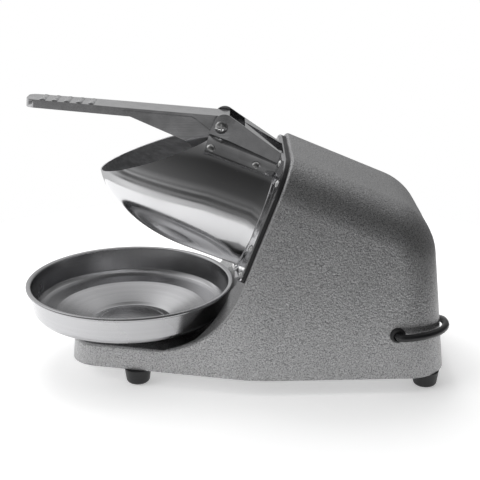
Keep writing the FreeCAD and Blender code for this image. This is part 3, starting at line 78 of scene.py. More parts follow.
def power(name, description, default):
    return FloatProperty(name=name, description=description, default=default, min=0.0, max=500.0, subtype="POWER",
                         unit="POWER")


def colour(name, description, default):
    return FloatVectorProperty(name=name, description=description, default=default, size=3, min=0.0, max=1.0,
                               subtype="COLOR")


class SHAVER_PG_paint(bpy.types.PropertyGroup):
    ground: colour("Paint", "Colour of the hammered paint", (0.50, 0.50, 0.505))
    fleck: colour("Fleck", "Colour in the pits of the hammered paint", (0.20, 0.20, 0.203))
    sheen: share("Roughness", "Roughness of the hammered paint", 0.40)
    cell: size("Cell", "Width of one hammered cell", 0.0019, 0.0005, 0.02)
    depth: size("Depth", "Depth of the hammered cells", 0.00022, 0.0, 0.002)


class SHAVER_PG_steel(bpy.types.PropertyGroup):
    polished: colour("Polished steel", "Colour of the hopper's sheet", (0.64, 0.64, 0.65))
    polish: share("Polish", "Roughness of the hopper's sheet", 0.09)
    satin: colour("Satin steel", "Colour of the bowl's sheet", (0.49, 0.49, 0.50))
    satin_roughness: share("Satin roughness", "Roughness of the bowl's sheet", 0.20)
    plated: colour("Plated steel", "Colour of the lever and its bracket", (0.56, 0.56, 0.57))


class SHAVER_PG_hopper(bpy.types.PropertyGroup):
    radius: size("Radius", "Outer radius of the hopper's drum", 0.060, 0.02, 0.2)
    nose: size("Nose", "Length of the drum's rounded nose", 0.108, 0.02, 0.3)
    straight: size("Straight", "Where the rounded nose starts, from the casting's front face", 0.060, 0.01, 0.2)
    sheet: size("Sheet", "Thickness of the hopper's sheet", 0.0012, 0.0003, 0.004)


class SHAVER_PG_bowl(bpy.types.PropertyGroup):
    radius: size("Radius", "Outer radius of the bowl's rim", 0.105, 0.05, 0.2)
    rim: size("Rim height", "Height of the bowl's rim above the table", 0.078, 0.04, 0.2)
    seat: size("Seat height", "Height of the bowl's underside above the table", 0.032, 0.0, 0.1)
    sheet: size("Sheet", "Thickness of the bowl's sheet", 0.0012, 0.0003, 0.004)


class SHAVER_PG_lead(bpy.types.PropertyGroup):
    diameter: size("Diameter", "Diameter of the mains lead", 0.007, 0.004, 0.012)
    colour: colour("Colour", "Colour of the mains lead and its plug", (0.012, 0.012, 0.013))


class SHAVER_PG_stage(bpy.types.PropertyGroup):
    floor_radius: size("Floor radius", "Radius of the pale floor", 0.50, 0.3, 5.0)
    floor: colour("Floor", "Colour of the pale floor", (0.86, 0.86, 0.86))
    overhead: power("Overhead light", "Power of the soft light over the machine", 5.0)
    behind: power("Light behind", "Power of the soft light above and behind the machine", 14.0)
    left: power("Light at the left", "Power of the soft light beyond the lever's tip", 11.0)


def settings(context):
    return context.scene.shaver


class SHAVER_PG_all(bpy.types.PropertyGroup):
    paint: PointerProperty(type=SHAVER_PG_paint, name="Paint", description="Hammered paint of the casting")
    steel: PointerProperty(type=SHAVER_PG_steel, name="Steel", description="Steel of the hopper, bowl and lever")
    hopper: PointerProperty(type=SHAVER_PG_hopper, name="Hopper", description="Sizes of the hopper")
    bowl: PointerProperty(type=SHAVER_PG_bowl, name="Bowl", description="Sizes of the bowl")
    lead: PointerProperty(type=SHAVER_PG_lead, name="Lead", description="Mains lead and plug")
    stage: PointerProperty(type=SHAVER_PG_stage, name="Stage", description="Floor and lights")


# ---------------------------------------------------------------- finishes
class Nodes:
    """A node tree, with short calls that add a node and join it."""

    def __init__(self, tree):
        self.tree = tree

    def set_input(self, socket, value):
        """Joins the socket to another one, or gives it a number or colour."""
        if isinstance(value, bpy.types.NodeSocket):
            self.tree.links.new(value, socket)
        else:
            socket.default_value = value

    def set(self, node, inputs):
        for key, value in inputs.items():
            self.set_input(node.inputs[key], value)

    def add(self, kind, inputs=None, **properties):
        node = self.tree.nodes.new(kind)
        for key, value in properties.items():
            setattr(node, key, value)
        self.set(node, inputs or {})
        return node

    def ranged(self, value, low, high, new_low, new_high):
        names = ("Value", "From Min", "From Max", "To Min", "To Max")
        return self.add("ShaderNodeMapRange", dict(zip(names, (value, low, high, new_low, new_high)))).outputs[0]

    def mixed(self, factor, first, second):
        """Two colours mixed by a factor; the colour sockets have no names of their own."""
        node = self.add("ShaderNodeMix", data_type="RGBA")
        for index, value in ((0, factor), (6, first), (7, second)):
            self.set_input(node.inputs[index], value)
        return node.outputs[2]

    def ramp(self, value, stops):
        """Grey tones at the given positions, blended between them."""
        node = self.add("ShaderNodeValToRGB", {"Fac": value})
        elements = node.color_ramp.elements
        while len(elements) < len(stops):
            elements.new(1.0)
        for element, (position, tone) in zip(elements, stops):
            element.position = position
            element.color = (tone, tone, tone, 1.0)
        return node.outputs[0]


class Finish(Nodes):
    """A material and the patterns that its nodes draw on it."""

    def __init__(self, name, base, metallic=0.0, roughness=0.5):
        self.material = bpy.data.materials.new(name)
        self.material.use_nodes = True
        super().__init__(self.material.node_tree)
        self.shader = self.tree.nodes["Principled BSDF"]
        self.set(self.shader, {"Base Color": (*base, 1.0), "Metallic": metallic, "Roughness": roughness})
        self.place = self.add("ShaderNodeTexCoord").outputs["Object"]

    def stretched(self, scale, turn=(0.0, 0.0, 0.0), centre=(0.0, 0.0, 0.0)):
        """Object coordinates about a centre, turned and then scaled along their axes."""
        moved = self.add("ShaderNodeMapping", {"Vector": self.place, "Location": [-c for c in centre]})
        turned = self.add("ShaderNodeMapping", {"Vector": moved.outputs[0], "Rotation": turn})
        return self.add("ShaderNodeMapping", {"Vector": turned.outputs[0], "Scale": scale}).outputs[0]

    def along_motor(self, across=1.0, along=1.0):
        """Coordinates in the motor's own frame, scaled across and along its axis."""
        return self.stretched((across, across, along), (0.0, -MOTOR_TURN, 0.0), MOTOR_CENTRE)

    def noise(self, vector, scale, detail=3.0, roughness=0.5):
        inputs = {"Vector": vector, "Scale": scale, "Detail": detail, "Roughness": roughness}
        return self.add("ShaderNodeTexNoise", inputs).outputs["Fac"]

    def cells(self, vector, scale):
        return self.add("ShaderNodeTexVoronoi", {"Vector": vector, "Scale": scale}).outputs["Distance"]

    def waves(self, vector, scale, distortion=0.0):
        inputs = {"Vector": vector, "Scale": scale, "Distortion": distortion}
        return self.add("ShaderNodeTexWave", inputs, bands_direction="Z").outputs["Fac"]

    def bump(self, height, distance, strength=1.0, onto=None):
        inputs = {"Height": height, "Distance": distance, "Strength": strength}
        if onto is not None:
            inputs["Normal"] = onto
        return self.add("ShaderNodeBump", inputs).outputs["Normal"]

    def finish(self, **sockets):
        self.set(self.shader, {key.replace("_", " "): value for key, value in sockets.items()})
        return self.material


PAINT_DRIFT = 0.0012      # how far the paint's cells wander from an even pattern


def shade(value, factor):
    """A colour made lighter or darker, with full alpha."""
    return [min(1.0, c * factor) for c in value] + [1.0]


def hammered_paint(paint):
    """Grey metallic paint that dried into small round cells, darker in the pits between them."""
    f = Finish("hammered_paint", paint.ground, metallic=0.78, roughness=paint.sheen)
    drift = f.add("ShaderNodeVectorMath", {0: f.noise(f.place, 160.0, 2.0), 1: (PAINT_DRIFT,) * 3},
                  operation="MULTIPLY").outputs[0]
    bent = f.add("ShaderNodeVectorMath", {0: f.place, 1: drift}, operation="ADD").outputs[0]
    pits = f.cells(bent, 1.0 / paint.cell)
    grain = f.noise(f.place, 900.0, 2.0)
    cloud = f.noise(f.place, 14.0, 2.0)
    specks = f.noise(bent, 2.0 / paint.cell, 2.0)
    deep = f.ranged(specks, 0.46, 0.62, 0.0, 0.85)
    body = f.mixed(f.ranged(pits, 0.25, 0.85, 0.0, 0.5), shade(paint.ground, 1.12), shade(paint.ground, 0.72))
    body = f.mixed(f.ranged(cloud, 0.35, 0.65, 0.0, 0.22), body, shade(paint.ground, 0.8))
    body = f.mixed(deep, body, (*paint.fleck, 1.0))
    height = f.add("ShaderNodeMath", {0: pits, 1: -1.0}, operation="MULTIPLY").outputs[0]
    normal = f.bump(height, paint.depth, 1.0)
    normal = f.bump(grain, 0.00006, 0.6, normal)
    rough = f.ranged(grain, 0.3, 0.7, paint.sheen - 0.06, paint.sheen + 0.1)
    return f.finish(Base_Color=body, Normal=normal, Roughness=rough)


def polished_steel(steel):
    """Rolled and polished sheet with faint draw lines along the drum and a few smears."""
    f = Finish("polished_steel", steel.polished, metallic=1.0, roughness=steel.polish)
    lines = f.noise(f.along_motor(420.0, 14.0), 1.0, 4.0, 0.6)
    smear = f.noise(f.place, 22.0, 3.0)
    waves = f.noise(f.place, 9.0, 1.0)
    normal = f.bump(lines, 0.00004, 0.35)
    normal = f.bump(waves, 0.0012, 0.25, normal)
    rough = f.ranged(smear, 0.35, 0.75, steel.polish, steel.polish + 0.10)
    tone = f.mixed(f.ranged(smear, 0.4, 0.8, 0.0, 0.25), shade(steel.polished, 1.0), shade(steel.polished, 0.82))
    return f.finish(Normal=normal, Roughness=rough, Base_Color=tone)


def rubbed_steel(steel):
    """The hopper's inside, dulled by the ice that slides down it."""
    f = Finish("rubbed_steel", steel.satin, metallic=0.35, roughness=0.42)
    streaks = f.noise(f.along_motor(260.0, 9.0), 1.0, 3.0, 0.6)
    smear = f.noise(f.place, 34.0, 3.0)
    tone = f.mixed(f.ranged(streaks, 0.35, 0.65, 0.0, 1.0), shade(steel.satin, 1.2), shade(steel.satin, 0.8))
    return f.finish(Base_Color=tone, Normal=f.bump(streaks, 0.00006, 0.5),
                    Roughness=f.ranged(smear, 0.3, 0.7, 0.34, 0.52))


def spun_steel(steel):
    """Satin sheet spun on a lathe: fine rings round the bowl's middle."""
    f = Finish("spun_steel", steel.satin, metallic=1.0, roughness=steel.satin_roughness)
    x, y, z = f.add("ShaderNodeSeparateXYZ", {0: f.stretched((1.0, 1.0, 1.0), centre=BOWL_CENTRE)}).outputs
    flat = f.add("ShaderNodeCombineXYZ", {0: x, 1: y}).outputs[0]
    radius = f.add("ShaderNodeVectorMath", {0: flat}, operation="LENGTH").outputs["Value"]
    across = f.add("ShaderNodeCombineXYZ", {0: radius, 2: z}).outputs[0]
    rings = f.noise(across, 1500.0, 2.0)
    broad = f.noise(across, 220.0, 2.0)
    smear = f.noise(f.place, 18.0, 3.0)
    normal = f.bump(rings, 0.00003, 0.30)
    rough = f.ranged(smear, 0.3, 0.7, steel.satin_roughness - 0.05, steel.satin_roughness + 0.10)
    tone = f.mixed(f.ranged(broad, 0.35, 0.65, 0.0, 0.35), shade(steel.satin, 1.06), shade(steel.satin, 0.86))
    return f.finish(Normal=normal, Roughness=rough, Base_Color=tone)


def plated_sheet(steel):
    """Nickel-plated pressed sheet, brushed along its length, with small handling marks."""
    f = Finish("plated_sheet", steel.plated, metallic=1.0, roughness=0.2)
    lines = f.noise(f.stretched((16.0, 700.0, 700.0)), 1.0, 3.0, 0.6)
    marks = f.noise(f.place, 90.0, 3.0)
    wear = f.noise(f.place, 30.0, 4.0)
    normal = f.bump(lines, 0.00003, 0.4)
    rough = f.ranged(wear, 0.3, 0.7, 0.09, 0.20)
    tone = f.mixed(f.ranged(marks, 0.45, 0.7, 0.0, 0.4), shade(steel.plated, 1.05), shade(steel.plated, 0.75))
    return f.finish(Normal=normal, Roughness=rough, Base_Color=tone)


def fastener_steel(name, base, roughness):
    """Bright turned or ground steel with a few stains."""
    f = Finish(name, base, metallic=1.0, roughness=roughness)
    grain = f.noise(f.place, 600.0, 3.0)
    stain = f.noise(f.place, 120.0, 2.0)
    tone = f.mixed(f.ranged(stain, 0.4, 0.7, 0.0, 0.5), shade(base, 1.0), shade(base, 0.7))
    return f.finish(Normal=f.bump(grain, 0.00002, 0.5), Base_Color=tone,
                    Roughness=f.ranged(grain, 0.3, 0.7, roughness - 0.05, roughness + 0.1))


def sand_cast(name, base):
    """Rough cast alloy, cloudy and grainy."""
    f = Finish(name, base, metallic=0.9, roughness=0.5)
    grain = f.noise(f.place, 500.0, 4.0, 0.7)
    cloud = f.noise(f.place, 40.0, 2.0)
    tone = f.mixed(f.ranged(cloud, 0.3, 0.7, 0.0, 0.6), shade(base, 1.08), shade(base, 0.8))
    return f.finish(Normal=f.bump(grain, 0.00015, 0.6), Base_Color=tone,
                    Roughness=f.ranged(grain, 0.3, 0.7, 0.42, 0.62))


def laminations(name, base):
    """Stacked core sheets: fine lines across the motor's axis."""
    f = Finish(name, base, metallic=0.8, roughness=0.45)
    sheets = f.waves(f.along_motor(), 320.0)
    grain = f.noise(f.place, 300.0, 3.0)
    tone = f.mixed(f.ranged(grain, 0.3, 0.7, 0.0, 0.6), shade(base, 1.1), shade(base, 0.7))
    return f.finish(Base_Color=tone, Normal=f.bump(sheets, 0.0002, 0.5))


def wound_wire(name, base):
    """Enamelled wire, turn beside turn, with painted shade in the grooves between the turns and a painted highlight
    on their crowns.
    """
    f = Finish(name, base, metallic=0.9, roughness=0.3)
    turn_relief_and_shade = f.waves(f.along_motor(), 260.0, 2.0)
    # painted shade in the grooves between the turns and painted highlight on their crowns
    tone = f.mixed(turn_relief_and_shade, shade(base, 0.45), shade(base, 1.1))
    return f.finish(Base_Color=tone, Normal=f.bump(turn_relief_and_shade, 0.0006, 0.8))


def moulded(name, base, roughness, grain_depth=0.00008, grain_scale=700.0):
    """Rubber or plastic: fine mould grain, slightly uneven gloss and a little dust-grey drift."""
    f = Finish(name, base, roughness=roughness)
    grain = f.noise(f.place, grain_scale, 3.0, 0.6)
    drift = f.noise(f.place, 45.0, 3.0)
    tone = f.mixed(f.ranged(drift, 0.35, 0.75, 0.0, 0.6), shade(base, 1.0), shade(base, 1.5))
    return f.finish(Base_Color=tone, Normal=f.bump(grain, grain_depth, 0.5),
                    Roughness=f.ranged(drift, 0.3, 0.7, roughness - 0.06, roughness + 0.08))


def pale_floor(stage):
    """Plain paper that glows a little, so that shadows on it stay faint."""
    f = Finish("pale_floor", stage.floor, roughness=0.75)
    cloud = f.ranged(f.noise(f.place, 3.0), 0.3, 0.7, 0.0, 1.0)
    tone = f.mixed(cloud, shade(stage.floor, 1.0), shade(stage.floor, 0.985))
    return f.finish(Base_Color=tone, Emission_Color=tone, Emission_Strength=0.46)


def finishes(context):
    """Every finish of the machine and of the floor by name, made once."""
    if "hammered_paint" not in bpy.data.materials:
        s = settings(context)
        hammered_paint(s.paint)
        polished_steel(s.steel)
        rubbed_steel(s.steel)
        spun_steel(s.steel)
        plated_sheet(s.steel)
        fastener_steel("bright_fastener", (0.70, 0.70, 0.70), 0.16)
        fastener_steel("ground_tool_steel", (0.62, 0.62, 0.63), 0.22)
        sand_cast("cast_alloy", (0.55, 0.55, 0.56))
        laminations("core_sheets", (0.20, 0.20, 0.22))
        wound_wire("enamelled_wire", (0.62, 0.26, 0.10))
        moulded("foot_rubber", (0.014, 0.014, 0.015), 0.42)
        moulded("seal_rubber", (0.022, 0.022, 0.023), 0.5)
        moulded("lead_sheath", s.lead.colour, 0.36, 0.00004, 900.0)
        moulded("black_moulding", (0.016, 0.016, 0.017), 0.38)
        moulded("white_moulding", (0.72, 0.72, 0.70), 0.45)
        pale_floor(s.stage)
    return bpy.data.materials


def coat(context, finish, *names):
    """Gives the named pieces one finish."""
    for name in names:
        slots = bpy.data.objects[name].data.materials
        slots.clear()
        slots.append(finishes(context)[finish])


# ---------------------------------------------------------------- making pieces
def soften(width, *names):
    """Rounds the sharp edges of CAD nodes: their loose triangles are welded and then bevelled."""
    for name in names:
        node = bpy.data.objects[name]
        weld = node.modifiers.new("weld", "WELD")
        weld.merge_threshold = WELD
        bevel = node.modifiers.new("edges", "BEVEL")
        bevel.width = width
        bevel.segments = 2
        bevel.limit_method = "ANGLE"
        bevel.angle_limit = math.radians(32.0)
        bevel.harden_normals = True


def link_piece(name, data, finish_name, context):
    """Puts new data into the scene as a piece at the origin."""
    piece = bpy.data.objects.new(name, data)
    context.scene.collection.objects.link(piece)
    data.materials.append(finishes(context)[finish_name])
    return piece


def mesh_piece(name, bm, finish_name, context, smooth=35.0):
    """Turns a bmesh into a piece with outward faces, smooth up to the given angle."""
    bmesh.ops.remove_doubles(bm, verts=bm.verts, dist=DOUBLE)
    bmesh.ops.recalc_face_normals(bm, faces=bm.faces)
    mesh = bpy.data.meshes.new(name)
    bm.to_mesh(mesh)
    bm.free()
    mesh.shade_smooth()
    mesh.set_sharp_from_angle(angle=math.radians(smooth))
    return link_piece(name, mesh, finish_name, context)


def closed_line(bm, points):
    """Joins the given points, one to the next and the last to the first, and gives back the edges."""
    verts = [bm.verts.new(p) for p in points]
    return [bm.edges.new(pair) for pair in zip(verts, verts[1:] + verts[:1])]


def round_corners(bm, verts, radius, segments=3):
    """Rounds the given corners of a line."""
    bmesh.ops.bevel(bm, geom=verts, offset=radius, offset_type="OFFSET", segments=segments, profile=0.5,
                    affect="VERTICES", clamp_overlap=True, material=-1)


def spin_round(bm, steps):
    """Spins every edge in the bmesh once round Z, in so many steps."""
    bmesh.ops.spin(bm, geom=bm.verts[:] + bm.edges[:], cent=(0, 0, 0), axis=(0, 0, 1), angle=2 * math.pi,
                   steps=steps, use_merge=True)
    bmesh.ops.remove_doubles(bm, verts=bm.verts, dist=SEAM)


def quarter_arc(bm, start, turn, steps):
    """Spins one vertex round Y into an arc and gives back the arc's two ends."""
    first = bm.verts.new(start)
    made = bmesh.ops.spin(bm, geom=[first], cent=(0, 0, 0), axis=(0, 1, 0), angle=turn, steps=steps)
    last = [v for v in made["geom_last"] if isinstance(v, bmesh.types.BMVert)][0]
    return first, last


# ---------------------------------------------------------------- stage
LAMP_PLACES = {"overhead": (0.0, 0.05, 1.5), "behind": (-0.2, 0.95, 1.38), "left": (-1.3, -0.55, 0.75)}
LAMP_TARGET = Vector((0.0, 0.0, 0.1))
LAMP_WIDTH = 1.3
FLOOR_CENTRE = Matrix.Translation((0.0, 0.06, -0.0002))       # a hair below the feet

# Grey tones of the room before and behind the machine, from straight down (0) over level (0.5) to straight up (1).
ROOM_FRONT = ((0.0, 0.55), (0.24, 0.50), (0.33, 0.66), (0.37, 0.60), (0.39, 0.08), (0.43, 0.28), (0.465, 0.09),
              (0.50, 0.09), (0.53, 0.36), (0.56, 0.14), (0.60, 0.24), (0.68, 0.12), (0.94, 0.07), (1.0, 0.16))
ROOM_BACK = ((0.0, 0.35), (0.50, 0.60), (0.60, 0.50), (0.66, 0.75), (0.73, 0.40), (0.80, 0.85), (0.88, 1.0),
             (0.94, 0.70), (1.0, 0.20))
ROOM_LEFT, ROOM_RIGHT = 1.5, 0.25         # how much brighter or darker the room is at its two sides
WHITE = (1.0, 1.0, 1.0, 1.0)

CAMERA_PLACE = (0.0094, -1.0013, 0.4574)
CAMERA_TILT = math.radians(71.4)
CAMERA_LENS, CAMERA_SENSOR = 78.75, 36.0


class SHAVER_OT_stage(bpy.types.Operator):
    """Pale floor, soft lights, the room's tones and the camera"""
    bl_idname = "shaver.stage"
    bl_label = "Stage"

    def execute(self, context):
        stage = settings(context).stage
        bm = bmesh.new()
        bmesh.ops.create_circle(bm, cap_ends=True, segments=128, radius=stage.floor_radius, matrix=FLOOR_CENTRE)
        mesh_piece("floor", bm, "pale_floor", context)

        for name, place in LAMP_PLACES.items():
            lamp = bpy.data.lights.new(name, "AREA")
            lamp.shape, lamp.size, lamp.energy = "DISK", LAMP_WIDTH, getattr(stage, name)
            light = bpy.data.objects.new(name, lamp)
            light.location = place
            light.rotation_euler = (Vector(place) - LAMP_TARGET).to_track_quat("Z", "Y").to_euler()
            light.visible_glossy = False
            context.scene.collection.objects.link(light)
        self.room(context)
        self.camera(context)
        return {"FINISHED"}

    def room(self, context):
        """The room that the polished sheet mirrors, dim with paler bands; white where the machine isn't."""
        world = bpy.data.worlds.new("room")
        world.use_nodes = True
        world.node_tree.nodes.clear()
        n = Nodes(world.node_tree)
        x, y, z = n.add("ShaderNodeSeparateXYZ", {0: n.add("ShaderNodeTexCoord").outputs["Generated"]}).outputs
        height = n.ranged(z, -1.0, 1.0, 0.0, 1.0)
        tone = n.mixed(n.ranged(y, -0.35, 0.35, 0.0, 1.0), n.ramp(height, ROOM_FRONT), n.ramp(height, ROOM_BACK))
        side = n.ranged(x, -0.8, 0.8, ROOM_LEFT, ROOM_RIGHT)
        mirrored = n.add("ShaderNodeVectorMath", {0: tone, "Scale": side}, operation="SCALE").outputs[0]
        behind = n.mixed(n.add("ShaderNodeLightPath").outputs["Is Camera Ray"], mirrored, WHITE)
        background = n.add("ShaderNodeBackground", {"Color": behind})
        n.add("ShaderNodeOutputWorld", {"Surface": background.outputs[0]})
        context.scene.world = world

    def camera(self, context):
        lens = bpy.data.cameras.new("camera")
        lens.lens, lens.sensor_width = CAMERA_LENS, CAMERA_SENSOR
        camera = bpy.data.objects.new("camera", lens)
        camera.location = CAMERA_PLACE
        camera.rotation_euler = (CAMERA_TILT, 0.0, 0.0)
        context.scene.collection.objects.link(camera)
        context.scene.camera = camera
        context.scene.view_settings.view_transform = "Standard"


# ---------------------------------------------------------------- casting and front plate
class SHAVER_OT_casting(bpy.types.Operator):
    """Casting and base cover in hammered paint, their screws and the rubber feet"""
    bl_idname = "shaver.casting"
    bl_label = "Casting"

    def execute(self, context):
        coat(context, "hammered_paint", "housing_shell", "base_cover")
        coat(context, "bright_fastener", "cover_screws", "foot_screws")
        coat(context, "foot_rubber", "foot_front_left", "foot_front_right", "foot_rear_left", "foot_rear_right")
        return {"FINISHED"}


class SHAVER_OT_front_plate(bpy.types.Operator):
    """Front plate, its gasket and screws, and the lining of the ice outlet"""
    bl_idname = "shaver.front_plate"
    bl_label = "Front plate"

    def execute(self, context):
        coat(context, "plated_sheet", "front_plate", "ice_chute")
        coat(context, "seal_rubber", "front_gasket")
        coat(context, "bright_fastener", "plate_screws")
        soften(0.0004, "front_plate")
        soften(0.0006, "front_gasket")
        return {"FINISHED"}


# ---------------------------------------------------------------- hopper
PLATE_FACE = 0.0055       # the front plate's outer face, from the casting's front face
FLANGE = 0.003            # width of the hopper's flange on it
MOUTH_AT = (0.008, 0.0, 0.132)
MOUTH_SLOPE = math.atan(0.82)


def faces_axis(face):
    """True for a face that looks towards the drum's axis."""
    middle = face.calc_center_median()
    return face.normal.x * middle.x + face.normal.y * middle.y < 0.0


class SHAVER_OT_hopper(bpy.types.Operator):
    """Polished hopper: a drum with a rounded nose, cut open on a slant, and a turned flange at its back"""
    bl_idname = "shaver.hopper"
    bl_label = "Hopper"

    def execute(self, context):
        drum = settings(context).hopper
        bm = bmesh.new()
        # the nose is a quarter turn of a unit vertex, stretched to an ellipse
        first, last = quarter_arc(bm, (1.0, 0.0, 0.0), -math.pi / 2, 40)
        bmesh.ops.scale(bm, verts=bm.verts, vec=(drum.radius, 1.0, drum.nose))
        bmesh.ops.translate(bm, verts=bm.verts, vec=(0.0, 0.0, drum.straight))
        shoulder = first if first.co.x > last.co.x else last
        seat = PLATE_FACE + drum.sheet
        heel = bm.verts.new((drum.radius, 0.0, seat))
        lip = bm.verts.new((drum.radius + FLANGE, 0.0, seat))
        bm.edges.new((shoulder, heel))
        bm.edges.new((heel, lip))
        round_corners(bm, [heel], 0.001)
        bmesh.ops.subdivide_edges(bm, edges=[e for e in bm.edges if e.calc_length() > 0.02], cuts=5)
        spin_round(bm, 128)
        # the slanted mouth
        bmesh.ops.bisect_plane(bm, geom=bm.verts[:] + bm.edges[:] + bm.faces[:], dist=0.000001, plane_co=MOUTH_AT,
                               plane_no=(math.cos(MOUTH_SLOPE), 0.0, math.sin(MOUTH_SLOPE)), clear_outer=True)
        bmesh.ops.recalc_face_normals(bm, faces=bm.faces)
        if sum(-1 if faces_axis(f) else 1 for f in bm.faces) < 0:
            bmesh.ops.reverse_faces(bm, faces=bm.faces)
        bmesh.ops.solidify(bm, geom=bm.faces[:], thickness=drum.sheet)
        bmesh.ops.recalc_face_normals(bm, faces=bm.faces)
        for face in bm.faces:
            if faces_axis(face) and face.calc_center_median().z > seat + 0.004:
                face.material_index = 1
        bmesh.ops.transform(bm, matrix=MOTOR, verts=bm.verts)
        hopper = mesh_piece("hopper_shell", bm, "polished_steel", context)
        hopper.data.materials.append(finishes(context)["rubbed_steel"])
        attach(hopper, "housing")
        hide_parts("hopper")
        return {"FINISHED"}


# ---------------------------------------------------------------- bracket
class SHAVER_OT_bracket(bpy.types.Operator):
    """Lever bracket: two bent cheeks, their rivets, and the pivot's screw and nut"""
    bl_idname = "shaver.bracket"
    bl_label = "Bracket"

    def execute(self, context):
        coat(context, "plated_sheet", "bracket_left", "bracket_right")
        coat(context, "bright_fastener", "bracket_rivets", "pivot_screw", "pivot_nut")
        soften(0.0004, "bracket_left", "bracket_right")
        return {"FINISHED"}


class SHAVER_OT_lever(bpy.types.Operator):
    """Press lever with its arms, presser plate, rivets and bushes"""
    bl_idname = "shaver.lever"
    bl_label = "Lever"

    def execute(self, context):
        coat(context, "plated_sheet", "lever", "presser_arm_left", "presser_arm_right")
        coat(context, "cast_alloy", "presser_plate")
        coat(context, "bright_fastener", "presser_rivets")
        coat(context, "white_moulding", "pivot_bush_left", "pivot_bush_right")
        soften(0.0005, "lever", "presser_arm_left", "presser_arm_right")
        return {"FINISHED"}


# ---------------------------------------------------------------- bowl
class SHAVER_OT_bowl(bpy.types.Operator):
    """Spun bowl: turned rim, upright wall, stepped shallow cone and a raised middle"""
    bl_idname = "shaver.bowl"
    bl_label = "Bowl"

    def execute(self, context):
        bowl = settings(context).bowl
        # the section, in mm: over the rim and down inside to the middle, and back out underneath
        radius, rim, floor, sheet = (value / MM for value in (bowl.radius, bowl.rim, bowl.seat, bowl.sheet))
        outside = [(radius - 1.6, rim - 3.6), (radius, rim - 2.6), (radius, rim - 0.8), (radius - 0.8, rim),
                   (radius - 4.1, rim - 0.3), (radius - 5.2, rim - 1.4)]
        inside = [(radius - 7.6, rim - 24.0), (radius - 10.6, rim - 27.6), (radius - 15.0, rim - 29.4),
                  (radius - 29.0, rim - 31.0), (46.0, floor + 3.4), (42.0, floor + sheet), (36.0, floor + sheet),
                  (32.0, floor + 3.4), (0.0, floor + 4.0)]
        under = [(0.0, floor + 4.0 - sheet), (32.4, floor + 3.4 - sheet), (36.4, floor), (42.4, floor),
                 (46.6, floor + 3.4 - sheet), (radius - 28.6, rim - 31.0 - sheet),
                 (radius - 14.6, rim - 29.4 - sheet), (radius - 9.5, rim - 28.2), (radius - 6.4, rim - 24.0),
                 (radius - 4.0, rim - 2.6), (radius - 3.3, rim - 1.7), (radius - 1.2, rim - 2.0)]
        bm = bmesh.new()
        points = [Vector((r * MM, 0.0, z * MM)) for r, z in outside + inside + under]
        on_axis = [e for e in closed_line(bm, points) if all(v.co.x == 0.0 for v in e.verts)]
        bmesh.ops.delete(bm, geom=on_axis, context="EDGES_FACES")
        round_corners(bm, [v for v in bm.verts if v.co.x > 0.001], 0.0008, 2)
        spin_round(bm, 160)
        bmesh.ops.translate(bm, verts=bm.verts, vec=BOWL_CENTRE)
        shell = mesh_piece("bowl_shell", bm, "spun_steel", context, smooth=50.0)
        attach(shell, "bowl")
        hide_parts("bowl")
        return {"FINISHED"}


# ---------------------------------------------------------------- switch, lead and plug
class SHAVER_OT_switch(bpy.types.Operator):
    """Rocker switch in the right wall"""
    bl_idname = "shaver.switch"
    bl_label = "Switch"

    def execute(self, context):
        coat(context, "black_moulding", "switch_body", "rocker")
        soften(0.0005, "switch_body", "rocker")
        return {"FINISHED"}


# The lead's control points, in mm: from the grommet round the machine's back, and from the coil to the plug.
ROUTE = [(157.5, -95.591, 58.0), (157.5, -100.0, 58.2), (159.9, -103.7, 58.6), (163.9, -105.2, 59.0),
         (172.5, -103.6, 59.2), (186.5, -97.2, 58.8), (199.0, -86.4, 58.0), (207.6, -71.0, 56.8),
         (210.0, -52.5, 54.5), (210.0, -31.0, 48.5), (211.6, -2.0, 36.5), (213.8, 25.0, 21.0), (214.4, 51.0, 9.0),
         (212.5, 79.0, 3.8), (206.0, 108.0, 3.6), (191.5, 138.5, 3.6), (175.0, 163.4, 3.6)]
TAIL = [(77.0, 188.2, 10.5), (65.1, 180.8, 10.4), (54.1, 172.2, 11.0)]
COIL_CENTRE = (122.0, 160.0)
COIL_TURNS = 5
COIL_ROW, ROW_STEP = 46.0, 7.0       # radius of the outermost row, and the step to the next one
COIL_LAYERS = (3.55, 10.5)           # heights of the two layers
COIL_IN, COIL_OUT = 33.5, 118.0      # angles at which the lead meets and leaves the coil
POINT_STEP = 30.0

# How far the lead has turned, in degrees, where it starts to cross to the next row or layer
INWARDS, CLIMB, OUTWARDS = (300.0, 660.0), 960.0, (1231.5, 1591.5)
CROSSING = 60.0


def crossed(turned, start):
    """How much of a crossing is done, from 0 to 1, with a smooth start and end."""
    value = max(0.0, min(1.0, (turned - start) / CROSSING))
    return value * value * (3.0 - 2.0 * value)


def coil_point(turned):
    """A control point of the coil after the lead has turned through so many degrees in it."""
    rows_in = sum(crossed(turned, start) for start in INWARDS) - sum(crossed(turned, start) for start in OUTWARDS)
    low, high = COIL_LAYERS
    angle = math.radians(COIL_IN + turned)
    reach = (COIL_ROW - ROW_STEP * rows_in) / math.cos(math.radians(POINT_STEP / 2))
    return (COIL_CENTRE[0] + reach * math.cos(angle), COIL_CENTRE[1] + reach * math.sin(angle),
            low + (high - low) * crossed(turned, CLIMB))


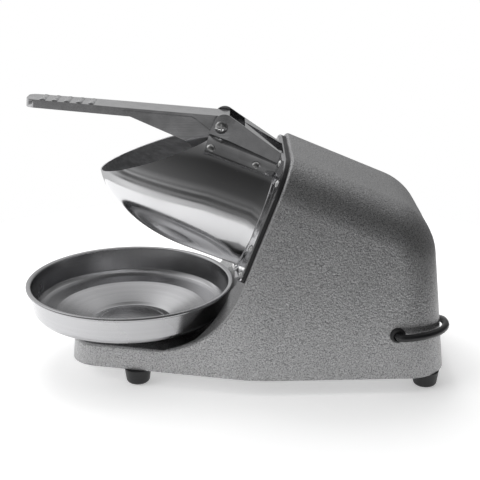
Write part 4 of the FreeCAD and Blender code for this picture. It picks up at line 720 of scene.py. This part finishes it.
class SHAVER_OT_lead(bpy.types.Operator):
    """Mains lead from its grommet, round the machine's back, into a tied coil and on to its plug"""
    bl_idname = "shaver.lead"
    bl_label = "Mains lead"

    def execute(self, context):
        lead_size = settings(context).lead
        total = COIL_TURNS * 360.0 + COIL_OUT - COIL_IN
        count = round(total / POINT_STEP)
        coil = [coil_point((k + 0.5) * total / count) for k in range(count)]
        points = ROUTE + coil + TAIL
        data = bpy.data.curves.new("mains_lead", "CURVE")
        data.dimensions = "3D"
        spline = data.splines.new("NURBS")
        spline.points.add(len(points) - 1)
        for point, place in zip(spline.points, points):
            point.co = (*(c * MM for c in place), 1.0)
        spline.order_u = 3
        spline.use_endpoint_u = True
        spline.resolution_u = 10
        data.bevel_depth = lead_size.diameter / 2
        data.bevel_resolution = 5
        data.use_fill_caps = True
        lead = link_piece("mains_lead", data, "lead_sheath", context)
        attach(lead, "housing")
        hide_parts("power_cord", "cord_coil", "cord_tail")
        coat(context, "lead_sheath", "inner_lead")
        coat(context, "black_moulding", "grommet", "cord_tie", "plug")
        soften(0.0006, "grommet")
        soften(0.0008, "cord_tie", "plug")
        return {"FINISHED"}


# ---------------------------------------------------------------- cutting parts and motor
class SHAVER_OT_works(bpy.types.Operator):
    """Blades, motor and the electrics inside the casting"""
    bl_idname = "shaver.works"
    bl_label = "Cutting parts and motor"

    def execute(self, context):
        coat(context, "cast_alloy", "blade_disc", "front_bell", "rear_bell")
        coat(context, "ground_tool_steel", "blades", "motor_shaft", "front_bearing", "rear_bearing")
        coat(context, "bright_fastener", "blade_screws", "disc_nut", "through_bolts", "capacitor_clip")
        coat(context, "core_sheets", "stator_core", "rotor_core")
        coat(context, "enamelled_wire", "windings")
        coat(context, "seal_rubber", "shaft_seal")
        coat(context, "white_moulding", "capacitor", "terminal_block")
        coat(context, "black_moulding", "cooling_fan", "cord_clamp")
        return {"FINISHED"}


PIECE_OPERATORS = (SHAVER_OT_stage, SHAVER_OT_lead, SHAVER_OT_casting, SHAVER_OT_front_plate, SHAVER_OT_hopper,
                   SHAVER_OT_bracket, SHAVER_OT_lever, SHAVER_OT_bowl, SHAVER_OT_switch, SHAVER_OT_works)


class SHAVER_PT_panel(bpy.types.Panel):
    """Sizes, colours and pieces of the ice shaver"""
    bl_label = "Ice shaver"
    bl_idname = "SHAVER_PT_panel"
    bl_space_type = "VIEW_3D"
    bl_region_type = "UI"
    bl_category = "Ice shaver"

    def draw(self, context):
        for key in ("paint", "steel", "hopper", "bowl", "lead", "stage"):
            group = getattr(settings(context), key)
            box = self.layout.box()
            box.label(text=key.capitalize())
            for name in group.__annotations__:
                box.prop(group, name)
        for operator in PIECE_OPERATORS:
            self.layout.operator(operator.bl_idname)


CLASSES = (SHAVER_PG_paint, SHAVER_PG_steel, SHAVER_PG_hopper, SHAVER_PG_bowl, SHAVER_PG_lead, SHAVER_PG_stage,
           SHAVER_PG_all, *PIECE_OPERATORS, SHAVER_PT_panel)


def register():
    for cls in CLASSES:
        bpy.utils.register_class(cls)
    bpy.types.Scene.shaver = PointerProperty(type=SHAVER_PG_all)


def unregister():
    del bpy.types.Scene.shaver
    for cls in reversed(CLASSES):
        bpy.utils.unregister_class(cls)


def main():
    register()
    bpy.ops.shaver.stage()
    bpy.ops.shaver.lead()
    bpy.ops.shaver.casting()
    bpy.ops.shaver.front_plate()
    bpy.ops.shaver.hopper()
    bpy.ops.shaver.bracket()
    bpy.ops.shaver.lever()
    bpy.ops.shaver.bowl()
    bpy.ops.shaver.switch()
    bpy.ops.shaver.works()


if __name__ == "__main__":
    main()
